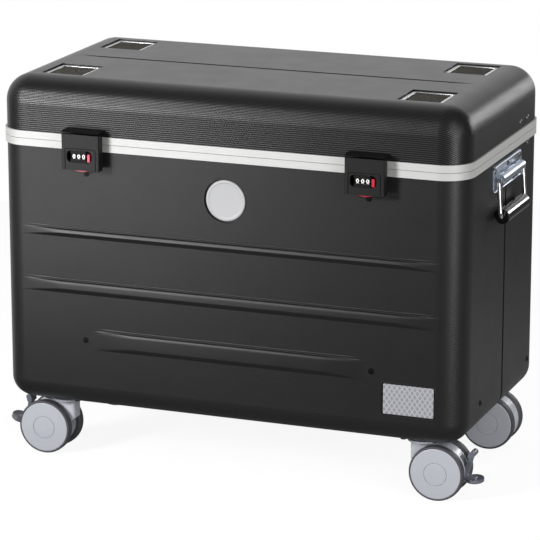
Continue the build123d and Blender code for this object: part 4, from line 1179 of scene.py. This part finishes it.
@dataclass
class CarryHandle:
    """Bail handle on one end of the case, on a plate with a rolled edge."""

    side: Side
    plate_mm: float = 2.0
    plate_bead: Bead = Bead(2.4, 6.0, 0.5, ((0.0, -0.5), (0.0, 0.35), (0.5, 0.8), (1.0, 0.2), (1.0, -0.5)))
    grip_round_mm: float = 1.6
    grip_end_mm: float = 2.2
    grip_steps: int = 72

    def build(self) -> None:
        """Dresses the bail, turns the grip and rolls the plate's edge."""
        dress_node(f"handle_bail_{self.side.word}", BRIGHT_STEEL)
        self.grip()
        self.plate_edge()

    def plate_edge(self) -> None:
        """Rolls the edge of the plate."""
        low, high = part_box("handle_plates")
        middle = (low + high) / 2
        half = ((high.y - low.y) / 2, (high.z - low.z) / 2)
        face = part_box("lower_shell")[1].x + self.plate_mm * MM
        outward = turned("Y", 90 * self.side.value) @ turned("Z", 90)
        place = Matrix.Translation((face * self.side.value, middle.y, middle.z)) @ outward
        mesh = self.plate_bead.mesh(half, place)
        add_piece(f"handle_plate_bead_{self.side.word}", mesh, Body.CASE, [ZINC_PLATE])

    def grip(self) -> None:
        """Turns the grip, smooth enough for an even streak of light."""
        node = f"handle_grip_{self.side.word}"
        low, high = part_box(node)
        radius, half = (high.z - low.z) / 2, (high.y - low.y) / 2
        straight = half - self.grip_end_mm * MM
        ends = (
            [(0.0, -half), (radius, -half), (radius, -straight)],
            [(radius, straight), (radius, half), (0.0, half)],
        )
        profile = [point for end in ends for point in rounded(end, self.grip_round_mm * MM)]
        place = Matrix.Translation((low + high) / 2) @ turned("X", 90)
        mesh = mesh_from(lambda work: lathe(work, profile, place, self.grip_steps))
        add_piece(f"{node}_turned", mesh, f"handle_{self.side.word}", [GLOSS_GRIP], [node])


@dataclass
class Caster:
    """Swivel caster with two wheels, and a brake pedal on the front ones."""

    name: str
    braked: bool
    hood_edge_mm: float = 0.6
    pedal_edge_mm: float = 0.8
    pedal_segments: int = 3
    core_share: float = 0.83
    flank_share: float = 0.93
    back_mm: float = 0.2
    cover_mm: float = 34.5
    cap_mm: float = 15.6
    line_mm: float = 0.3
    bulge_mm: float = 0.4
    dome_share: Point = (0.6, 0.7)
    tread_round_mm: float = 1.2
    disc_round_mm: float = 0.25
    dome_round_mm: float = 2.0
    steps: int = 96

    def build(self) -> None:
        """Dresses the hood and pedal, and turns the wheels."""
        hood = f"caster_hood_{self.name}"
        soften_node(hood, hood, HOOD_GREY, self.hood_edge_mm)
        middle = sum(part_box(hood), Vector()).y / 2
        for side in ("front", "rear"):
            self.turn_wheel(f"wheel_{self.name}_{side}", middle)
        if self.braked:
            pedal = f"brake_pedal_{self.name}"
            soften_node(pedal, pedal, PEDAL_GREY, self.pedal_edge_mm, self.pedal_segments)

    def turn_wheel(self, node: str, hood_y: float) -> None:
        """Turns a wheel's tread and cover, the cover facing away from the hood.

        Args:
            node: CAD node and body of the wheel.
            hood_y: Y of the hood's middle plane.
        """
        low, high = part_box(node)
        middle = (low + high) / 2
        outward = 1 if middle.y > hood_y else -1
        inner = low.y if outward > 0 else high.y
        place = Matrix.Translation((middle.x, inner, middle.z)) @ turned("X", -90 * outward)
        bulge, back = self.bulge_mm * MM, self.back_mm * MM
        width = high.y - low.y - bulge
        radius, cover = (high.x - low.x) / 2, self.cover_mm * MM
        core = radius * self.core_share
        cap_out, cap_in = (self.cap_mm + self.line_mm) * MM, (self.cap_mm - self.line_mm) * MM

        def under(spot: float, drop_mm: float, inset_mm: float = 0.0) -> Point:
            """Gives a point of the profile by its drop below the wheel's face and its inset."""
            return (spot - inset_mm * MM, width - drop_mm * MM)

        # The tread runs from its back round to the cover, and the cover from its edge to its middle, in millimetres.
        tread = [
            (core, back),
            (radius * self.flank_share, 0.0),
            (radius, 2.3 * MM),
            under(radius, 3.6),
            under(radius, 1.2, 0.7),
            under(cover, 1.1, -0.3),
            under(cover, 2.4),
        ]
        groove = [under(cap_out, 0.1), under(cap_out, 0.9), under(cap_in, 0.9), under(cap_in, 0.1)]
        disc = [under(cover, 2.6), under(cover, 1.2), under(cover, 0.7, 0.9), groove[0]]
        dome_in, dome_up = self.cap_mm * MM * self.dome_share[0], bulge * self.dome_share[1]
        dome = [groove[-1], (dome_in, width + dome_up), (0.0, width + bulge)]
        covers = [
            groove,
            rounded(disc, self.disc_round_mm * MM),
            rounded(dome, self.dome_round_mm * MM),
            [(0.0, back), (core, back)],
        ]

        def build(work: Draft) -> None:
            """Turns the profiles."""
            lathe(work, rounded(tread, self.tread_round_mm * MM), place, self.steps)
            for profile in covers:
                lathe(work, profile, place, self.steps, 1)

        add_piece(f"{node}_turned", mesh_from(build), node, [TREAD_GREY, CASTER_GREY], [node])


@dataclass
class LidVents:
    """Frames and woven guards of the vent wells."""

    across_mm: float = 251.0
    along_mm: float = 96.0
    frame_sunk_mm: float = 2.0
    frame_mm: Point = (60.0, 67.0)
    bar_mm: float = 5.5
    corner_mm: float = 0.8
    corner_steps: int = 3
    round_mm: float = 0.5
    guard_sunk_mm: float = 3.6
    guard_mm: Point = (50.0, 57.0)
    wires: Point = (21.0, 24.0)
    pitch_mm: float = 2.4
    wire_mm: float = 0.38
    crimp_mm: float = 0.12

    def build(self) -> None:
        """Folds the frames and weaves the guards."""
        self.frames()
        self.guards()

    def wells(self, sunk_mm: float) -> list[Vector]:
        """Lists the middles of the four wells at a depth below the lid's top."""
        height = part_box("lid_shell")[1].z - sunk_mm * MM
        across, depth = self.across_mm * MM, self.along_mm * MM
        return [Vector((x * across, y * depth + DEPTH_SHIFT, height)) for x in (-1, 1) for y in (-1, 1)]

    def frames(self) -> None:
        """Folds the four bright frames, from their seats up to just under the lid's face."""
        wells = self.wells(self.frame_sunk_mm)
        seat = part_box("vent_frames")[0].z - wells[0].z
        bar, corner = self.bar_mm * MM, self.corner_mm * MM
        profile = rounded([(0.0, seat), (0.0, 0.0), (bar, 0.0), (bar, seat)], self.round_mm * MM)
        half = (self.frame_mm[0] / 2 * MM, self.frame_mm[1] / 2 * MM)

        def build(work: Draft) -> None:
            """Sets a frame in each well."""
            for well in wells:
                rim_ring(work, half, corner, profile, Matrix.Translation(well), self.corner_steps)

        add_piece("vent_frames_folded", mesh_from(build), Body.LID, [TRIM_ALUMINIUM], ["vent_frames"])

    def guards(self) -> None:
        """Weaves the four wire guards."""
        wells = self.wells(self.guard_sunk_mm - self.wire_mm - self.crimp_mm)
        # Wires about 1 mm apart in the real guard: drawn coarser, so that the weave shows.
        values = {
            "Width": self.guard_mm[0] * MM,
            "Depth": self.guard_mm[1] * MM,
            "Pitch": self.pitch_mm * MM,
            "Wire": self.wire_mm * MM,
            "Crimp": self.crimp_mm * MM,
            "Columns": self.wires[0],
            "Rows": self.wires[1],
            "Finish": MESH_WIRE.build(),
        }
        upward = [Vector((0, 0, 1))] * len(wells)
        mesh = grown("woven_guards", weave_tree(), seed_mesh(wells, upward), values)
        mesh.shade_smooth()
        add_piece("woven_guards", mesh, Body.LID, [MESH_WIRE], ["vent_meshes"])


@dataclass
class BlackScrews:
    """Pan-head screws with washers on the front and low on both sides."""

    head_mm: float = 4.2
    height_mm: float = 1.6
    # Shares of the head's radius and height: socket, head, washer, edge and back.
    shape: tuple[Point, ...] = (
        (0.0, 0.25),
        (0.3, 0.25),
        (0.36, 0.92),
        (0.6, 0.85),
        (0.72, 0.45),
        (0.76, 0.3),
        (0.98, 0.3),
        (1.0, 0.2),
        (1.0, 0.0),
        (0.0, 0.0),
    )
    front_mm: float = -173.5
    side_mm: float = 327.5
    # X and height above the shell's foot on the front, Y and the same height on the sides.
    front_spots: tuple[Point, ...] = (
        (-203.5, 94.75),
        (203.5, 94.75),
        (-198.5, 325.42),
        (198.5, 325.42),
    )
    side_spots: tuple[Point, ...] = ((-90.0, 41.0), (130.0, 41.0))

    def build(self) -> None:
        """Sets a turned screw on every spot."""
        profile = scaled(self.shape, self.head_mm * MM, self.height_mm * MM)
        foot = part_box("lower_shell")[0].z
        spots = []
        for x, z in self.front_spots:
            place = Vector((x * MM, self.front_mm * MM + DEPTH_SHIFT, foot + z * MM))
            spots.append((place, Vector((0, -1, 0))))
        for y, z in self.side_spots:
            for side in Side:
                place = Vector((side.value * self.side_mm * MM, y * MM + DEPTH_SHIFT, foot + z * MM))
                spots.append((place, Vector((side.value, 0, 0))))
        mesh = scatter("black_screw_heads", profile, spots, SCREW_BLACK)
        add_piece("black_screw_heads", mesh, Body.CASE, [SCREW_BLACK], ["black_screws"])


@dataclass
class PlainNodes:
    """CAD nodes that keep their shape, apart from broken edges of a width in millimetres, and take a finish."""

    softened: dict[str, tuple[str, Finish, float]] = field(
        default_factory=lambda: {
            "handle_plates": (Body.CASE, ZINC_PLATE, 0.4),
            "hinge_leaf_lower": (Body.CASE, ZINC_PLATE, 0.2),
            "hinge_leaf_upper": (Body.LID, ZINC_PLATE, 0.2),
            "caster_plates": (Body.CASE, ZINC_PLATE, 0.4),
            "latch_strikers": (Body.CASE, LATCH_NYLON, 0.4),
            "latch_brackets": (Body.LID, LATCH_NYLON, 0.3),
            "mains_inlet": (Body.CASE, LATCH_NYLON, 0.3),
            "rocker_switch": ("rocker_switch", BLACK_ACETAL_AND_SHADE, 0.4),
            "floor_plate": (Body.CASE, FLOOR_BOARD, 0.5),
            "divider_rack": (Body.CASE, RACK_BLACK, 0.5),
            "slot_dividers": (Body.CASE, DIVIDER_SHEET, 0.2),
            "charger_housing": (Body.CASE, HOUSING_PAINT, 0.4),
            "lead_gland_strip": (Body.CASE, LATCH_NYLON, 0.5),
            "power_supply": (Body.CASE, SUPPLY_METAL, 0.5),
            "terminal_cover": (Body.CASE, LATCH_NYLON, 0.5),
        }
    )
    stay_edge_mm: float = 0.3

    def build(self) -> None:
        """Dresses each node."""
        for node, (body, finish, width_mm) in self.softened.items():
            soften_node(node, body, finish, width_mm)
        dress_node("steel_fasteners", RIVET_STEEL)
        dress_node("lid_rivets", RIVET_STEEL)
        for side in Side:
            for stem in ("stay_arm", "stay_link"):
                node = f"{stem}_{side.word}"
                soften_node(node, node, ZINC_PLATE, self.stay_edge_mm)


# Studio


def aim(holder: bpy.types.Object, place: Spot, look: Vector) -> None:
    """Sets a camera or lamp in its place and turns it along a look."""
    holder.location = place
    holder.rotation_mode = "QUATERNION"
    holder.rotation_quaternion = look.to_track_quat("-Z", "Y")


@dataclass(frozen=True)
class Lamp:
    """One soft area lamp: where it hangs, what it faces, its size in metres, its power in watts and its beam."""

    name: str
    place: Spot
    target: Spot
    size: Point
    power: float
    spread_deg: float = 180.0

    def hang(self) -> None:
        """Adds the lamp to the scene."""
        light = bpy.data.lights.new(self.name, "AREA")
        light.shape = "RECTANGLE"
        light.size, light.size_y = self.size
        light.energy = self.power
        light.spread = math.radians(self.spread_deg)
        aim(linked(self.name, light), self.place, Vector(self.target) - Vector(self.place))


STUDIO_LAMPS = (
    Lamp("left_key_softbox", (-1.4, -2.2, 1.2), (0.0, -0.1, 0.3), (0.6, 0.6), 64.0),
    Lamp("right_fill_softbox", (1.9, -1.9, 1.4), (0.0, -0.1, 0.25), (1.0, 1.0), 19.0),
    Lamp("left_grid_softbox", (-0.74, -1.1, 0.2), (-0.27, -0.17, 0.41), (0.7, 0.34), 0.31, 36.0),
    Lamp("right_edge_softbox", (1.5, -0.75, 0.6), (0.33, 0.0, 0.45), (0.5, 0.5), 3.0),
    Lamp("right_low_softbox", (1.3, -0.9, 0.22), (0.3, -0.1, 0.25), (0.3, 0.5), 4.8),
    Lamp("back_right_strip", (0.84, 1.3, 0.68), (0.35, 0.0, 0.36), (0.26, 0.34), 4.0),
)


@dataclass
class Studio:
    """Camera at the photograph's angle, pale floor and soft light."""

    azimuth_deg: float = 20.9
    dip_deg: float = 14.929
    focal_pixels: float = 3022.41
    eye: Spot = (1.4256, -3.7429 + DEPTH_SHIFT, 1.3212)
    clip_end: float = 50.0
    # Paper: reach ahead of the camera, spare beyond the picture's left and right edge, colour and glow.
    paper_reach: Point = (3.58, 5.45)
    paper_spare: Point = (0.03, 1.2)
    paper_grey: str = "#707070"
    paper_glow: float = 0.9
    # Share of that glow in reflections: it rises over one stretch of Y and falls over the next. This is a painted
    # reflection of a sheet lit from behind: dim in front of the case and bright behind it.
    mirror_share: Point = (0.12, 0.36)
    mirror_rise: Point = (-0.1, 0.4)
    mirror_fall: Point = (0.5, 1.2)
    mirror_last: float = 0.1
    # Backdrop: its direction, the edge where it begins, the room beside it and the room's light.
    backdrop: Spot = (-0.6, 0.74, 0.3)
    backdrop_edge: Point = (0.52, 0.8)
    room: float = 0.12
    ambient: float = 0.25

    def build(self) -> None:
        """Makes the camera, floor, world and lamps."""
        bpy.context.scene.view_settings.view_transform = "Standard"
        self.camera()
        self.floor()
        self.world()
        for lamp in STUDIO_LAMPS:
            lamp.hang()

    def camera(self) -> None:
        """Stands the camera where the photograph was taken."""
        lens = bpy.data.cameras.new("photo_camera")
        lens.sensor_width = SENSOR_MM
        lens.sensor_height = SENSOR_MM
        lens.lens = self.focal_pixels / FRAME_PIXELS * SENSOR_MM
        lens.clip_end = self.clip_end
        holder = linked("photo_camera", lens)
        turn, dip = math.radians(self.azimuth_deg), math.radians(self.dip_deg)
        look = Vector((-math.sin(turn) * math.cos(dip), math.cos(turn) * math.cos(dip), -math.sin(dip)))
        aim(holder, self.eye, look)
        bpy.context.scene.camera = holder

    def seen(self, tree: Tree, mirror: Socket | float) -> Socket:
        """Adds a mask of the rays that show the background: the camera's, and those off metal and through glass.

        Args:
            tree: Node tree of the floor or the world.
            mirror: Share that reflections show.

        Returns:
            Socket that is one for the camera's rays.
        """
        rays = put(tree, "ShaderNodeLightPath").outputs
        mirrored = calc(tree, "MULTIPLY", rays["Is Glossy Ray"], mirror)
        shown = calc(tree, "MAXIMUM", rays["Is Camera Ray"], mirrored)
        return calc(tree, "MAXIMUM", shown, rays["Is Transmission Ray"])

    def floor(self) -> None:
        """Lays a sheet of white paper that keeps a soft shadow."""
        turn = math.radians(self.azimuth_deg)
        ahead = Vector((-math.sin(turn), math.cos(turn), 0.0))
        aside = Vector((math.cos(turn), math.sin(turn), 0.0))
        foot = Vector((self.eye[0], self.eye[1], 0.0))
        half_view = FRAME_PIXELS / 2 / self.focal_pixels
        near, far = self.paper_reach
        left, right = self.paper_spare
        ends = [(near, -1, left), (near, 1, right), (far, 1, right), (far, -1, left)]
        corners = [foot + ahead * reach + aside * side * (half_view * reach + spare) for reach, side, spare in ends]
        mesh = bpy.data.meshes.new("studio_floor")
        mesh.from_pydata([tuple(corner) for corner in corners], [], [(0, 1, 2, 3)])
        mesh.materials.append(self.paper())
        linked("studio_floor", mesh)

    def paper(self) -> bpy.types.Material:
        """Makes the paper, which the camera sees as white and the lamps light as grey.

        Returns:
            The Blender material of the floor.
        """
        material = bpy.data.materials.new("white_paper")
        material.use_nodes = True
        tree = material.node_tree
        tree.nodes.clear()
        sheet = put(tree, "ShaderNodeBsdfDiffuse", {"Color": srgb(self.paper_grey)})
        spot = put(tree, "ShaderNodeTexCoord").outputs["Object"]
        behind = put(tree, "ShaderNodeSeparateXYZ", {0: spot}).outputs[1]
        rising = ramp(tree, behind, self.mirror_rise, self.mirror_share)
        falling = ramp(tree, behind, self.mirror_fall, (1.0, self.mirror_last))
        # Painted reflection: the glow that reflections see is set by Y, dim on the paper in front of the case and
        # bright behind it.
        mirror = calc(tree, "MULTIPLY", rising, falling)
        share = calc(tree, "MULTIPLY", self.seen(tree, mirror), self.paper_glow)
        glow = put(tree, "ShaderNodeEmission", {"Strength": share})
        both = put(tree, "ShaderNodeAddShader", {0: sheet.outputs[0], 1: glow.outputs[0]})
        put(tree, "ShaderNodeOutputMaterial", {"Surface": both.outputs[0]})
        return material

    def world(self) -> None:
        """Sets a white backdrop behind the object, in a dim room that gives soft light."""
        world = bpy.data.worlds.new("studio_world")
        bpy.context.scene.world = world
        world.use_nodes = True
        tree = world.node_tree
        tree.nodes.clear()
        ahead = along(tree, put(tree, "ShaderNodeTexCoord").outputs["Generated"], self.backdrop)
        ends = (self.room, 1.0)
        backdrop = ramp(tree, ahead, self.backdrop_edge, ends, interpolation_type="SMOOTHSTEP")
        strength = ramp(tree, self.seen(tree, 1.0), (0.0, 1.0), (self.ambient, backdrop))
        back = put(tree, "ShaderNodeBackground", {"Color": srgb("#ffffff"), "Strength": strength})
        put(tree, "ShaderNodeOutputWorld", {"Surface": back.outputs[0]})


def assemblies() -> Iterable[Any]:
    """Lists the sub-assemblies in the order that they are built.

    Returns:
        Objects with a build method.
    """
    return [
        Studio(),
        CaseShells(),
        RibCrests(),
        *[Latch(side) for side in Side],
        *[CarryHandle(side) for side in Side],
        *[Caster(f"{end}_{side.word}", end == "front") for end in ("front", "rear") for side in Side],
        LidVents(),
        BlackScrews(),
        PlainNodes(),
    ]


def main() -> None:
    """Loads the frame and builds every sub-assembly."""
    logging.basicConfig(level=logging.INFO, format="%(message)s")
    FRAME.update(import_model())
    for assembly in assemblies():
        assembly.build()


if __name__ == "__main__":
    main()
